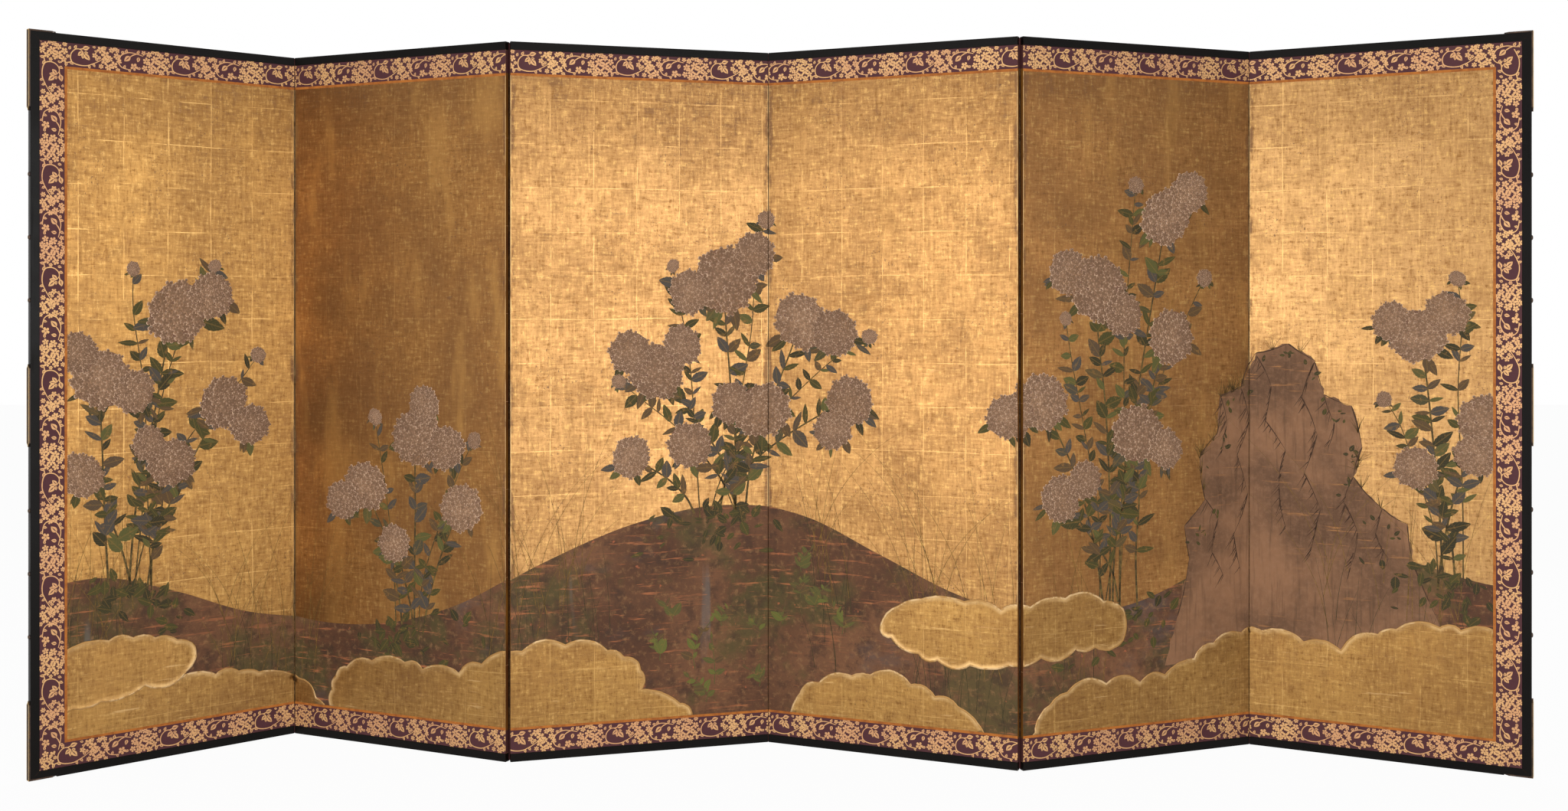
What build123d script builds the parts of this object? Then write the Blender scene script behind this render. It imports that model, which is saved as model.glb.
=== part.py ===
from build123d import *
from math import cos, radians, sin
import os

# A six-panel folding screen, standing open in a zigzag.
# Front faces look towards -Y, +X runs along the screen to the viewer's right, +Z is up.
# Inside one panel, u runs along its width from its left end, w from its front face to its back,
# and z up from the floor. Panels and folds are counted from the left.

# Driving dimensions, in millimetres and degrees

screen_height = 1710
panel_width = 635
panel_headings = (41.5, -24.5, 16.5, -23.5, 21.5, -27.5)  # plan angles, plus = away from the viewer
fold_sides = ("front", "back", "front", "back", "front")  # the faces that each fold closes on

# Lacquered frame
frame_width = 20          # rails and stiles, seen from the front
frame_proud = 0.8         # how far they stand over the papers, front and back
arris_radius = 1.5        # outer long edges
inner_chamfer = 0.8       # long edges next to the papers

# Layers, from front to back
brocade_thickness = 0.4
painting_thickness = 1.0
core_depth = 13.0
back_paper_thickness = 1.0

# Mounting around the painting
brocade_width = 55
narrow_strip_width = 6
narrow_strip_thickness = 0.3

# Cedar lattice
core_bar_width = 24       # outer members
kumiko_width = 12         # inner bars
kumiko_columns = 3
kumiko_rows = 9
wood_clearance = 0.1      # between glued wooden pieces
tenon_length = 16
tenon_thickness = 5
tenon_height = 14

# Paper hinges
hinge_sections = 8        # strips in each fold, crossing alternate ways
hinge_paper = 0.3
hinge_leaf_width = 30
section_gap = 1.0
pocket_clearance = 0.5
paper_clearance = 0.1     # between a leaf and the cover of the edge
edge_clearance = 0.3      # from a panel's edge to the plane midway between two edges laid flat
face_clearance = 0.25     # from a rail's face to the plane midway between two panels shut

# Metal fittings on the outer edges
fitting_thickness = 3.5
fitting_inset = 0.5       # from the faces of the frame
fitting_seat = 0.1        # clearance of the leg let into the underside
corner_leg_up = 182
corner_leg_along = 58
edge_fitting_length = 189
cusp_length = 9
cusp_hollow = 1.6         # how deep the end's two curves are hollowed
rim_width = 1.6
rim_height = 0.9
dome_diameter = 12
dome_height = 3.2
dome_shoulder_radius = 4.2   # where the dome's two slopes meet
dome_shoulder_height = 2.0
dome_crown_radius = 1.6
dome_sides = 16
dome_offsets = (240, 384, 528)  # above and below half height

# Depths, measured back from the frame's front face

brocade_front = frame_proud
painting_front = brocade_front + brocade_thickness
core_front = painting_front + painting_thickness
core_middle = core_front + core_depth / 2
core_back = core_front + core_depth
back_paper_back = core_back + back_paper_thickness
panel_depth = back_paper_back + frame_proud

# Heights

frame_top = screen_height
sight_top = screen_height - frame_width      # inner edges of the rails
sight_bottom = frame_width
half_height = screen_height / 2
panel_count = len(panel_headings)
last = panel_count - 1


# Where the panels stand

def along(panel):
    """Unit vector along a panel's width."""
    heading = radians(panel_headings[panel])
    return Vector(cos(heading), sin(heading), 0)


def backward(panel):
    """Unit vector from a panel's front face to its back."""
    heading = radians(panel_headings[panel])
    return Vector(-sin(heading), cos(heading), 0)


def fold_depth(fold):
    """Depth of a fold's axis, just clear of the faces that close on each other."""
    if fold_sides[fold] == "front":
        return -face_clearance
    return panel_depth + face_clearance


def stand_panels():
    """Front left corners of the panels and points on the fold axes, before centring."""
    corners = [Vector(0, 0, 0)]
    axes = []
    for fold in range(panel_count - 1):
        depth = fold_depth(fold)
        reach = panel_width + edge_clearance
        axis = corners[fold] + along(fold) * reach + backward(fold) * depth
        axes.append(axis)
        corners.append(axis + along(fold + 1) * edge_clearance - backward(fold + 1) * depth)
    return corners, axes


def plan_centre(corners):
    """Middle of the plan's bounding box, fittings included."""
    points = [
        corners[panel] + along(panel) * u + backward(panel) * w
        for panel in range(panel_count)
        for u in (0, panel_width)
        for w in (0, panel_depth)
    ]
    for panel, u in ((0, -fitting_thickness), (last, panel_width + fitting_thickness)):
        for w in (fitting_inset, panel_depth - fitting_inset):
            points.append(corners[panel] + along(panel) * u + backward(panel) * w)
    xs = [point.X for point in points]
    ys = [point.Y for point in points]
    return Vector((min(xs) + max(xs)) / 2, (min(ys) + max(ys)) / 2, 0)


free_corners, free_axes = stand_panels()
centre = plan_centre(free_corners)
panel_corners = [corner - centre for corner in free_corners]
fold_axes = [axis - centre for axis in free_axes]


# Sketch planes of a panel

def face_plane(panel, w=0):
    """Upright plane at depth w: local x is u, local y is z, and its normal looks to the front."""
    origin = panel_corners[panel] + backward(panel) * w
    return Plane(origin=origin, x_dir=along(panel), z_dir=-backward(panel))


def edge_plane(panel, u=0):
    """Upright plane across the panel at u: local x is w, local y is z, normal along the width."""
    origin = panel_corners[panel] + along(panel) * u
    return Plane(origin=origin, x_dir=backward(panel), z_dir=along(panel))


def level_plane(panel, z=0):
    """Level plane at height z: local x is u, local y is w."""
    origin = panel_corners[panel] + Vector(0, 0, z)
    return Plane(origin=origin, x_dir=along(panel), z_dir=(0, 0, 1))


def spread(low, high, count):
    """Centres of count bars spaced evenly between two members."""
    step = (high - low) / (count + 1)
    return [low + step * (n + 1) for n in range(count)]


def core_span(panel):
    """Left and right sides of a panel's lattice: behind the hinge papers, or against a stile."""
    left = frame_width if panel == 0 else hinge_paper
    right = panel_width - (frame_width if panel == last else hinge_paper)
    return left, right


def sheet_span(panel):
    """Left and right sides of the papers: they run out to a fold, or stop at a stile."""
    left = frame_width if panel == 0 else 0
    right = panel_width - (frame_width if panel == last else 0)
    return left, right


def fold_edges(panel):
    """The panel's folding edges, as (u, direction into the panel, fold, is it the fold's left)."""
    edges = []
    if panel > 0:
        edges.append((0, 1, panel - 1, False))
    if panel < last:
        edges.append((panel_width, -1, panel, True))
    return edges


def hinge_strips(panel):
    """Every hinge strip on a panel: u of the edge, direction inwards, foot, face, has it a web."""
    pitch = (sight_top - sight_bottom) / hinge_sections
    strips = []
    for edge, inward, fold, on_left in fold_edges(panel):
        for section in range(hinge_sections):
            foot = sight_bottom + pitch * section + section_gap / 2
            face = "front" if (section % 2 == 0) == on_left else "back"
            strips.append((edge, inward, foot, face, face != fold_sides[fold]))
    return strips


strip_height = (sight_top - sight_bottom) / hinge_sections - section_gap


# Lattice

class Core:
    """Spans and bar positions of one panel's lattice."""

    def __init__(self, panel):
        self.panel = panel
        self.left, self.right = core_span(panel)
        self.inner_left = self.left + core_bar_width
        self.inner_right = self.right - core_bar_width
        self.inner_bottom = sight_bottom + core_bar_width
        self.inner_top = sight_top - core_bar_width
        self.middle = (self.left + self.right) / 2
        self.columns = spread(self.inner_left, self.inner_right, kumiko_columns)
        self.rows = spread(self.inner_bottom, self.inner_top, kumiko_rows)
        self.tenon_rows = (
            sight_bottom + core_bar_width / 2,
            sight_top - core_bar_width / 2,
        )
        self.level_length = self.inner_right - self.inner_left - 2 * wood_clearance
        self.upright_length = self.inner_top - self.inner_bottom - 2 * wood_clearance


tenon_front = core_middle - tenon_thickness / 2
notch_width = kumiko_width + 2 * wood_clearance
notch_depth = (core_depth + wood_clearance) / 2


def core_upright(core, on_left):
    """Outer upright of the lattice, with a blind mortise at each end."""
    outer = core.left if on_left else core.right - core_bar_width
    mortise_depth = tenon_length + wood_clearance
    mortise = core.inner_left - mortise_depth if on_left else core.inner_right
    with BuildPart() as upright:
        with BuildSketch(face_plane(core.panel, core_front)):
            with Locations((outer, sight_bottom)):
                Rectangle(core_bar_width, sight_top - sight_bottom, align=Align.MIN)
        extrude(amount=-core_depth)
        with BuildSketch(face_plane(core.panel, tenon_front - wood_clearance)):
            for z in core.tenon_rows:
                with Locations((mortise + mortise_depth / 2, z)):
                    Rectangle(mortise_depth, tenon_height + 2 * wood_clearance)
        extrude(amount=-tenon_thickness - 2 * wood_clearance, mode=Mode.SUBTRACT)
    return upright.part


def core_level(core, z):
    """Top or bottom member of the lattice, with a tenon at each end."""
    with BuildPart() as level:
        with BuildSketch(face_plane(core.panel, core_front)):
            with Locations((core.middle, z)):
                Rectangle(core.level_length, core_bar_width)
        extrude(amount=-core_depth)
        with BuildSketch(face_plane(core.panel, tenon_front)):
            with Locations((core.middle, z)):
                Rectangle(core.inner_right - core.inner_left + 2 * tenon_length, tenon_height)
        extrude(amount=-tenon_thickness)
    return level.part


def upright_kumiko(core, u):
    """Upright inner bar, notched on its front side over each level one."""
    with BuildPart() as bar:
        with BuildSketch(edge_plane(core.panel, u - kumiko_width / 2)):
            with Locations((core_middle, half_height)):
                Rectangle(core_depth, core.upright_length)
            with Locations(*[(core_front + notch_depth / 2, z) for z in core.rows]):
                Rectangle(notch_depth, notch_width, mode=Mode.SUBTRACT)
        extrude(amount=kumiko_width)
    return bar.part


def level_kumiko(core, z):
    """Level inner bar, notched on its back side over each upright one."""
    with BuildPart() as bar:
        with BuildSketch(level_plane(core.panel, z - kumiko_width / 2)):
            with Locations((core.middle, core_middle)):
                Rectangle(core.level_length, core_depth)
            with Locations(*[(u, core_back - notch_depth / 2) for u in core.columns]):
                Rectangle(notch_width, notch_depth, mode=Mode.SUBTRACT)
        extrude(amount=kumiko_width)
    return bar.part


def lattice(panel):
    """Tenoned outer members, and kumiko bars half-lapped where they cross."""
    core = Core(panel)
    members = [core_upright(core, on_left) for on_left in (True, False)]
    members += [core_level(core, z) for z in core.tenon_rows]
    members += [upright_kumiko(core, u) for u in core.columns]
    members += [level_kumiko(core, z) for z in core.rows]
    return Compound(children=members)


# Lacquered frame

def outer_end(panel):
    """u of the outer edge and the outward direction along u."""
    return (0, -1) if panel == 0 else (panel_width, 1)


def frame_bar(panel, start, outward, length):
    """Bar of the frame with its inner front edge starting at a point (u, z)."""
    origin = face_plane(panel).from_local_coords(start)
    run = backward(panel).cross(outward)
    with BuildPart() as bar:
        with BuildSketch(Plane(origin=origin, x_dir=backward(panel), z_dir=run)) as section:
            Rectangle(panel_depth, frame_width, align=Align.MIN)
            fillet(section.vertices().group_by(Axis.Y)[-1], radius=arris_radius)
            chamfer(section.vertices().group_by(Axis.Y)[0], length=inner_chamfer)
        extrude(amount=length)
    return bar.part


def finished_bar(panel, bar, mitres, keep, at_foot):
    """The bar cut to its mitres, with the seat of the bottom fitting let into its underside."""
    with BuildPart() as cut:
        add(bar)
        for mitre in mitres:
            split(bisect_by=mitre, keep=keep)
        if at_foot:
            edge, outward = outer_end(panel)
            reach = corner_leg_along + fitting_seat
            with BuildSketch(level_plane(panel)):
                with Locations((edge - outward * reach / 2, panel_depth / 2)):
                    Rectangle(reach, panel_depth)
            extrude(amount=fitting_thickness + fitting_seat, mode=Mode.SUBTRACT)
    return cut.part


def corner_mitre(panel, at_top):
    """Mitre plane at an outer corner of the frame: the rail lies on its upper side."""
    edge, outward = outer_end(panel)
    level = frame_top if at_top else 0
    rise = Vector(0, 0, 1 if at_top else -1)
    corner = face_plane(panel).from_local_coords((edge, level))
    return Plane(origin=corner, z_dir=rise - along(panel) * outward)


def rail(panel, at_top):
    """Top or bottom rail: square at a fold and mitred at an outer corner."""
    if at_top:
        bar = frame_bar(panel, (0, sight_top), Vector(0, 0, 1), panel_width)
    else:
        bar = frame_bar(panel, (panel_width, sight_bottom), Vector(0, 0, -1), panel_width)
    on_end = panel in (0, last)
    mitres = [corner_mitre(panel, at_top)] if on_end else []
    return finished_bar(panel, bar, mitres, Keep.TOP, on_end and not at_top)


def stile(panel):
    """Upright of the frame on an outer end, mitred at both ends."""
    outward = along(panel) * outer_end(panel)[1]
    start = (frame_width, 0) if panel == 0 else (panel_width - frame_width, frame_top)
    bar = frame_bar(panel, start, outward, screen_height)
    mitres = [corner_mitre(panel, at_top) for at_top in (True, False)]
    return finished_bar(panel, bar, mitres, Keep.BOTTOM, True)


# Papers and cloth

def paper_sheet(panel, face):
    """Front or back paper, hollowed where the hinge strips lie under it."""
    left, right = sheet_span(panel)
    outer = painting_front if face == "front" else core_back
    thickness = painting_thickness if face == "front" else back_paper_thickness
    pocket_front = core_front - hinge_paper if face == "front" else core_back
    pocket_height = strip_height + 2 * pocket_clearance
    pocket_width = hinge_leaf_width + pocket_clearance
    with BuildPart() as sheet:
        with BuildSketch(face_plane(panel, outer)):
            with Locations(((left + right) / 2, half_height)):
                Rectangle(right - left, sight_top - sight_bottom)
        extrude(amount=-thickness)
        with BuildSketch(face_plane(panel, pocket_front)):
            for edge, inward, foot, side, _ in hinge_strips(panel):
                if side == face:
                    with Locations((edge + inward * pocket_width / 2, foot + strip_height / 2)):
                        Rectangle(pocket_width, pocket_height)
        extrude(amount=-hinge_paper, mode=Mode.SUBTRACT)
    return sheet.part


def border_outlines(panel, outset, width):
    """Strips of a given width around the sight edge, outset from it, mitred where they meet."""
    left, right = sheet_span(panel)
    near = outset
    far = outset + width
    left_near = left + near if panel == 0 else left
    left_far = left + far if panel == 0 else left
    right_near = right - near if panel == last else right
    right_far = right - far if panel == last else right
    top_near = sight_top - near
    top_far = sight_top - far
    bottom_near = sight_bottom + near
    bottom_far = sight_bottom + far
    outlines = [
        ((left_near, top_near), (right_near, top_near), (right_far, top_far), (left_far, top_far)),
        (
            (left_near, bottom_near),
            (right_near, bottom_near),
            (right_far, bottom_far),
            (left_far, bottom_far),
        ),
    ]
    uprights = []
    if panel == 0:
        uprights.append((left_near, left_far))
    if panel == last:
        uprights.append((right_near, right_far))
    for outer, inner in uprights:
        outlines.append(
            ((outer, bottom_near), (outer, top_near), (inner, top_far), (inner, bottom_far))
        )
    return outlines


def border(panel, outset, width, thickness):
    """Cloth or paper strips on the painting, each one a separate solid."""
    strips = []
    for outline in border_outlines(panel, outset, width):
        with BuildPart() as strip:
            with BuildSketch(face_plane(panel, painting_front)):
                with BuildLine():
                    Polyline(*outline, close=True)
                make_face()
            extrude(amount=thickness)
        strips.append(strip.part)
    return Compound(children=strips)


def hinge_papers(panel):
    """Hinge strips as they lie on one panel, and the covers of its bare edge between them."""
    strips = []
    for edge, inward, foot, face, has_web in hinge_strips(panel):
        side = 1 if face == "front" else -1
        seat = core_front if face == "front" else core_back
        far = core_back if face == "front" else core_front
        leaf_end = edge + inward * hinge_leaf_width
        web_inside = edge + inward * hinge_paper
        outside = seat - side * hinge_paper
        if has_web:
            shapes = [(
                (edge, outside), (leaf_end, outside), (leaf_end, seat),
                (web_inside, seat), (web_inside, far), (edge, far),
            )]
        else:
            cover = seat + side * paper_clearance
            shapes = [
                ((edge, outside), (leaf_end, outside), (leaf_end, seat), (edge, seat)),
                ((edge, cover), (web_inside, cover), (web_inside, far), (edge, far)),
            ]
        for shape in shapes:
            with BuildPart() as strip:
                with BuildSketch(level_plane(panel, foot)):
                    with BuildLine():
                        Polyline(*shape, close=True)
                    make_face()
                extrude(amount=strip_height)
            strips.append(strip.part)
    return Compound(children=strips)


# Metal fittings

fitting_width = panel_depth - 2 * fitting_inset


def cusped_outline(base, tip):
    """Plate outline from a square base to a cusped tip, across the depth of the panel."""
    across = panel_depth / 2
    half = fitting_width / 2
    direction = 1 if tip > base else -1
    shoulder = tip - direction * cusp_length
    hollow = shoulder + direction * (cusp_length / 2 - cusp_hollow)
    with BuildLine() as line:
        Polyline(
            (across - half, shoulder), (across - half, base),
            (across + half, base), (across + half, shoulder),
        )
        ThreePointArc((across + half, shoulder), (across + half / 2, hollow), (across, tip))
        ThreePointArc((across, tip), (across - half / 2, hollow), (across - half, shoulder))
    return line.line


def plate(plane, outlines, thickness, rimmed=True):
    """Metal plate on a plane, with a raised rim around a lower field."""
    step = rim_height if thickness > 0 else -rim_height
    with BuildPart() as body:
        with BuildSketch(plane) as shape:
            for outline in outlines:
                add(outline)
                make_face()
        extrude(amount=thickness)
        if rimmed:
            with BuildSketch(plane.offset(thickness - step)):
                add(shape.sketch_local)
                offset(amount=-rim_width, mode=Mode.REPLACE)
            extrude(amount=step, mode=Mode.SUBTRACT)
    return body.part


def corner_fitting(panel, at_top):
    """Corner plate: one leg on the edge of the stile and one on, or let into, the rail."""
    edge, outward = outer_end(panel)
    level = frame_top if at_top else 0
    base = frame_top + fitting_thickness if at_top else 0
    tip = frame_top - corner_leg_up if at_top else corner_leg_up
    upright_leg = plate(
        edge_plane(panel, edge), [cusped_outline(base, tip)], outward * fitting_thickness
    )
    # level plane whose second axis runs against u
    rail_plane = Plane(
        origin=level_plane(panel, level).origin, x_dir=backward(panel), z_dir=(0, 0, 1)
    )
    rail_outline = cusped_outline(-edge, -edge + outward * corner_leg_along)
    rail_leg = plate(rail_plane, [rail_outline], fitting_thickness, rimmed=at_top)
    with BuildPart() as fitting:
        add(upright_leg)
        add(rail_leg)
    return fitting.part


def edge_fitting(panel):
    """Plate at half height on an outer edge, cusped at both ends."""
    edge, outward = outer_end(panel)
    half = edge_fitting_length / 2
    outlines = [
        cusped_outline(half_height, half_height + half),
        cusped_outline(half_height, half_height - half),
    ]
    return plate(edge_plane(panel, edge), outlines, outward * fitting_thickness)


def dome_nails(panel):
    """Faceted domed nail heads in a row down an outer edge."""
    edge, outward = outer_end(panel)
    rings = (
        (0, dome_diameter / 2),
        (dome_shoulder_height, dome_shoulder_radius),
        (dome_height, dome_crown_radius),
    )
    nails = []
    for up in dome_offsets:
        for z in (half_height - up, half_height + up):
            with BuildPart() as nail:
                for height, radius in rings:
                    with BuildSketch(edge_plane(panel, edge + outward * height)):
                        with Locations((panel_depth / 2, z)):
                            RegularPolygon(radius=radius, side_count=dome_sides)
                loft(ruled=True)
            nails.append(nail.part)
    return Compound(children=nails)


# Writing the pieces

os.makedirs("parts", exist_ok=True)


def save(piece, node):
    piece.label = node
    export_step(piece, f"parts/{node}.step")
    print(node, len(piece.solids()), "solids")


for panel in range(panel_count):
    number = panel + 1
    save(lattice(panel), f"lattice_{number}")
    save(paper_sheet(panel, "front"), f"painting_{number}")
    save(paper_sheet(panel, "back"), f"back_paper_{number}")
    save(rail(panel, True), f"top_rail_{number}")
    save(rail(panel, False), f"bottom_rail_{number}")
    save(border(panel, 0, brocade_width, brocade_thickness), f"brocade_{number}")
    save(
        border(panel, brocade_width, narrow_strip_width, narrow_strip_thickness),
        f"narrow_strip_{number}",
    )
    save(hinge_papers(panel), f"hinge_papers_{number}")

for panel, side in ((0, "left"), (last, "right")):
    save(stile(panel), f"{side}_stile")
    save(corner_fitting(panel, True), f"top_{side}_corner_fitting")
    save(corner_fitting(panel, False), f"bottom_{side}_corner_fitting")
    save(edge_fitting(panel), f"{side}_edge_fitting")
    save(dome_nails(panel), f"{side}_dome_nails")

for number, axis in enumerate(fold_axes, start=1):
    print(f"fold_{number} axis at", round(axis.X, 4), round(axis.Y, 4))
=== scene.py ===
import bpy
import bmesh
import random
from math import atan2, cos, hypot, pi, radians, sin, sqrt
from mathutils import Matrix, Vector
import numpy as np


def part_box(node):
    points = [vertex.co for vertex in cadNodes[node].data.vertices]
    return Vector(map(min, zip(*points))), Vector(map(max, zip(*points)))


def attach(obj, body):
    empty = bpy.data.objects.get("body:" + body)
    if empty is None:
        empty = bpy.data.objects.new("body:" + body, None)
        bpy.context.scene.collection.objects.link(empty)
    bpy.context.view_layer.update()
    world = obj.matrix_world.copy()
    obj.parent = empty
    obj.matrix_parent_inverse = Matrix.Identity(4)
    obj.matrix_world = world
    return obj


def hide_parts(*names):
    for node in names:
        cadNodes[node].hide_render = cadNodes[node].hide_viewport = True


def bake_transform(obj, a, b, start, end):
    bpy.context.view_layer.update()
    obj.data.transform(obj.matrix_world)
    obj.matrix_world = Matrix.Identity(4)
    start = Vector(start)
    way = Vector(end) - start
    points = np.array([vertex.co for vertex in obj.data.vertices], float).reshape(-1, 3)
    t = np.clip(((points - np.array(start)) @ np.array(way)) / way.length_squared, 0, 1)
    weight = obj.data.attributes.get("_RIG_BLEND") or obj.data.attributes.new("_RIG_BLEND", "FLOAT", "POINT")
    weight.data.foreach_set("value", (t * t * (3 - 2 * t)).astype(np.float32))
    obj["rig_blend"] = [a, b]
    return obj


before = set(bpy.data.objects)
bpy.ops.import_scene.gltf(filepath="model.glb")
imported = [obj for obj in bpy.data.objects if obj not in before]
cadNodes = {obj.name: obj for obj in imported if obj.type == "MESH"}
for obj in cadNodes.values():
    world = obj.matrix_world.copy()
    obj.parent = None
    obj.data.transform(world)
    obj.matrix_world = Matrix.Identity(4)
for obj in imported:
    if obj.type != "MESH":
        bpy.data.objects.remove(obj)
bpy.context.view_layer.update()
print("frame loaded,", len(cadNodes), "nodes")

mm = 0.001

screen = dict(
    panels=6,
    panelWidth=635 * mm,
    headings=(41.5, -24.5, 16.5, -23.5, 21.5, -27.5),  # plan angle of each panel, in degrees
    depth=17 * mm,
    frameWidth=20 * mm,
    height=1710 * mm,
    sheetThickness=1 * mm,
    paintingFace=1.2 * mm,  # depths behind the front of the lacquered frame
    brocadeFace=0.8 * mm,
    brocadeWidth=55 * mm,
    stripWidth=6 * mm,
)
screen["bottom"] = screen["frameWidth"]
screen["top"] = screen["height"] - screen["frameWidth"]
screen["border"] = screen["brocadeWidth"] + screen["stripWidth"]


def panelBoard(number):
    # maps a drawing board to the front of a panel: x along it, y up, z towards the viewer
    heading = radians(screen["headings"][number - 1])
    low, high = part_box(f"painting_{number}")
    thick = screen["sheetThickness"]
    if heading > 0:
        corner = Vector((low.x + thick * sin(heading), low.y, 0))
    else:
        corner = Vector((low.x, high.y - thick * cos(heading), 0))
    along = Vector((cos(heading), sin(heading), 0))
    front = Vector((sin(heading), -cos(heading), 0))
    corner -= along * (screen["frameWidth"] if number == 1 else 0)
    corner += front * screen["paintingFace"]
    board = Matrix((along, Vector((0, 0, 1)), front)).transposed().to_4x4()
    board.translation = corner
    return board


panels = range(1, screen["panels"] + 1)
boards = {number: panelBoard(number) for number in panels}
# side, the panel there, where its outer end lies, and which way is outward
sides = (("left", 1, 0.0, -1), ("right", screen["panels"], screen["panelWidth"], 1))


# node helpers: each finds its node tree from the socket or the material that it is given

def addNode(tree, kind, inputs=None, **settings):
    made = tree.nodes.new(kind)
    for name, value in settings.items():
        setattr(made, name, value)
    setInputs(made, inputs or {})
    return made


def setInputs(node, inputs):
    # each input takes a socket or a plain value
    for name, value in inputs.items():
        if isinstance(value, bpy.types.NodeSocket):
            node.id_data.links.new(value, node.inputs[name])
        else:
            node.inputs[name].default_value = value


def calc(operation, first, second=0.0, clamp=False):
    tree = (first if isinstance(first, bpy.types.NodeSocket) else second).id_data
    made = addNode(tree, "ShaderNodeMath", {0: first, 1: second}, operation=operation, use_clamp=clamp)
    return made.outputs[0]


def plus(first, second):
    return calc("ADD", first, second)


def minus(first, second):
    return calc("SUBTRACT", first, second)


def times(first, second, clamp=False):
    return calc("MULTIPLY", first, second, clamp)


def larger(first, second):
    return calc("MAXIMUM", first, second)


def addUp(*shares):
    # the sum of values, each times its own weight
    total = 0.0
    for value, weight in shares:
        total = plus(total, times(value, weight))
    return total


def vectorCalc(operation, first, second):
    made = addNode(first.id_data, "ShaderNodeVectorMath", {0: first, 1: second}, operation=operation)
    return made.outputs["Value" if operation == "DOT_PRODUCT" else 0]


def splitUp(place):
    return addNode(place.id_data, "ShaderNodeSeparateXYZ", {"Vector": place}).outputs


def rise(value, low, high, to=(0.0, 1.0)):
    # a soft step from low to high
    inputs = dict(zip(("Value", "From Min", "From Max", "To Min", "To Max"), (value, low, high) + to))
    return addNode(value.id_data, "ShaderNodeMapRange", inputs, interpolation_type="SMOOTHSTEP").outputs[0]


def noiseAt(place, scale, detail=3.0, rough=0.5):
    # scale is one number, or three for a noise that is drawn out along an axis
    if isinstance(scale, tuple):
        place = addNode(place.id_data, "ShaderNodeMapping", {"Vector": place, "Scale": scale}).outputs[0]
        scale = 1.0
    inputs = {"Vector": place, "Scale": scale, "Detail": detail, "Roughness": rough}
    return addNode(place.id_data, "ShaderNodeTexNoise", inputs).outputs["Fac"]


def patchesAt(place, scale, low, high, detail=3.0, rough=0.5, to=(0.0, 1.0)):
    # a mask of the spots where such a noise rises past low, full where it reaches high
    return rise(noiseAt(place, scale, detail, rough), low, high, to)


def tint(code):
    # a colour written as a screen would show it, as linear light
    values = [int(code[i:i + 2], 16) / 255 for i in (0, 2, 4)]
    return tuple(v / 12.92 if v < 0.04045 else ((v + 0.055) / 1.055) ** 2.4 for v in values) + (1.0,)


def blendColor(factor, first, second):
    # either colour is a socket or a written code
    first, second = (tint(color) if isinstance(color, str) else color for color in (first, second))
    made = addNode(factor.id_data, "ShaderNodeMix", {0: factor, 6: first, 7: second}, data_type="RGBA")
    return made.outputs[2]


def layCoats(color, *coats):
    # each coat is its mask, how strongly it shows, and its colour
    for mask, strength, code in coats:
        color = blendColor(times(mask, strength), color, code)
    return color


def newGroup(name, inputs, outputs):
    tree = bpy.data.node_groups.new(name, "ShaderNodeTree")
    for side, sockets in (("INPUT", inputs), ("OUTPUT", outputs)):
        for socket, kind in sockets.items():
            tree.interface.new_socket(name=socket, in_out=side, socket_type=f"NodeSocket{kind}")
    return tree, tree.nodes.new("NodeGroupInput").outputs, tree.nodes.new("NodeGroupOutput")


def useGroup(group, place, **inputs):
    return addNode(place.id_data, "ShaderNodeGroup", dict(inputs, Place=place), node_tree=group).outputs


def newMaterial(name, **plain):
    # plain holds the values that are the same all over the surface
    material = bpy.data.materials.new(name)
    material.use_nodes = True
    return feed(material, **plain)


def feed(material, **inputs):
    # Base_Color stands for the shader's input Base Color, and so on
    shader = material.node_tree.nodes["Principled BSDF"]
    setInputs(shader, {name.replace("_", " "): value for name, value in inputs.items()})
    return material


def cover(material, color, height, distance, strength=0.5, **more):
    # gives a surface its colour, its relief and what else varies over it
    bump = addNode(material.node_tree, "ShaderNodeBump",
                   {"Height": height, "Distance": distance, "Strength": strength})
    return feed(material, Base_Color=color, Normal=bump.outputs[0], **more)


def readLayer(material, name):
    # what a piece's own vertices say, such as how near its edge they lie
    return addNode(material.node_tree, "ShaderNodeAttribute", attribute_name=name).outputs["Fac"]


def objectPlace(material):
    return addNode(material.node_tree, "ShaderNodeTexCoord").outputs["Object"]


def boardPlace(material, number):
    # place on the opened screen: x along it, y depth, z up, in metres
    corner, heading = boards[number].translation, radians(screen["headings"][number - 1])
    turn = {"Vector": objectPlace(material), "Location": (corner.x, corner.y, 0), "Rotation": (0, 0, heading)}
    turned = addNode(material.node_tree, "ShaderNodeMapping", turn, vector_type="TEXTURE").outputs[0]
    shift = {"Vector": turned, "Location": ((number - 1) * screen["panelWidth"], 0, 0)}
    return addNode(material.node_tree, "ShaderNodeMapping", shift).outputs[0]


def layoutPlace(material):
    # the same place, kept in a piece's own UV map
    parts = splitUp(addNode(material.node_tree, "ShaderNodeUVMap", uv_map="layout").outputs[0])
    return addNode(material.node_tree, "ShaderNodeCombineXYZ", {"X": parts[0], "Z": parts[1]}).outputs[0]


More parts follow.
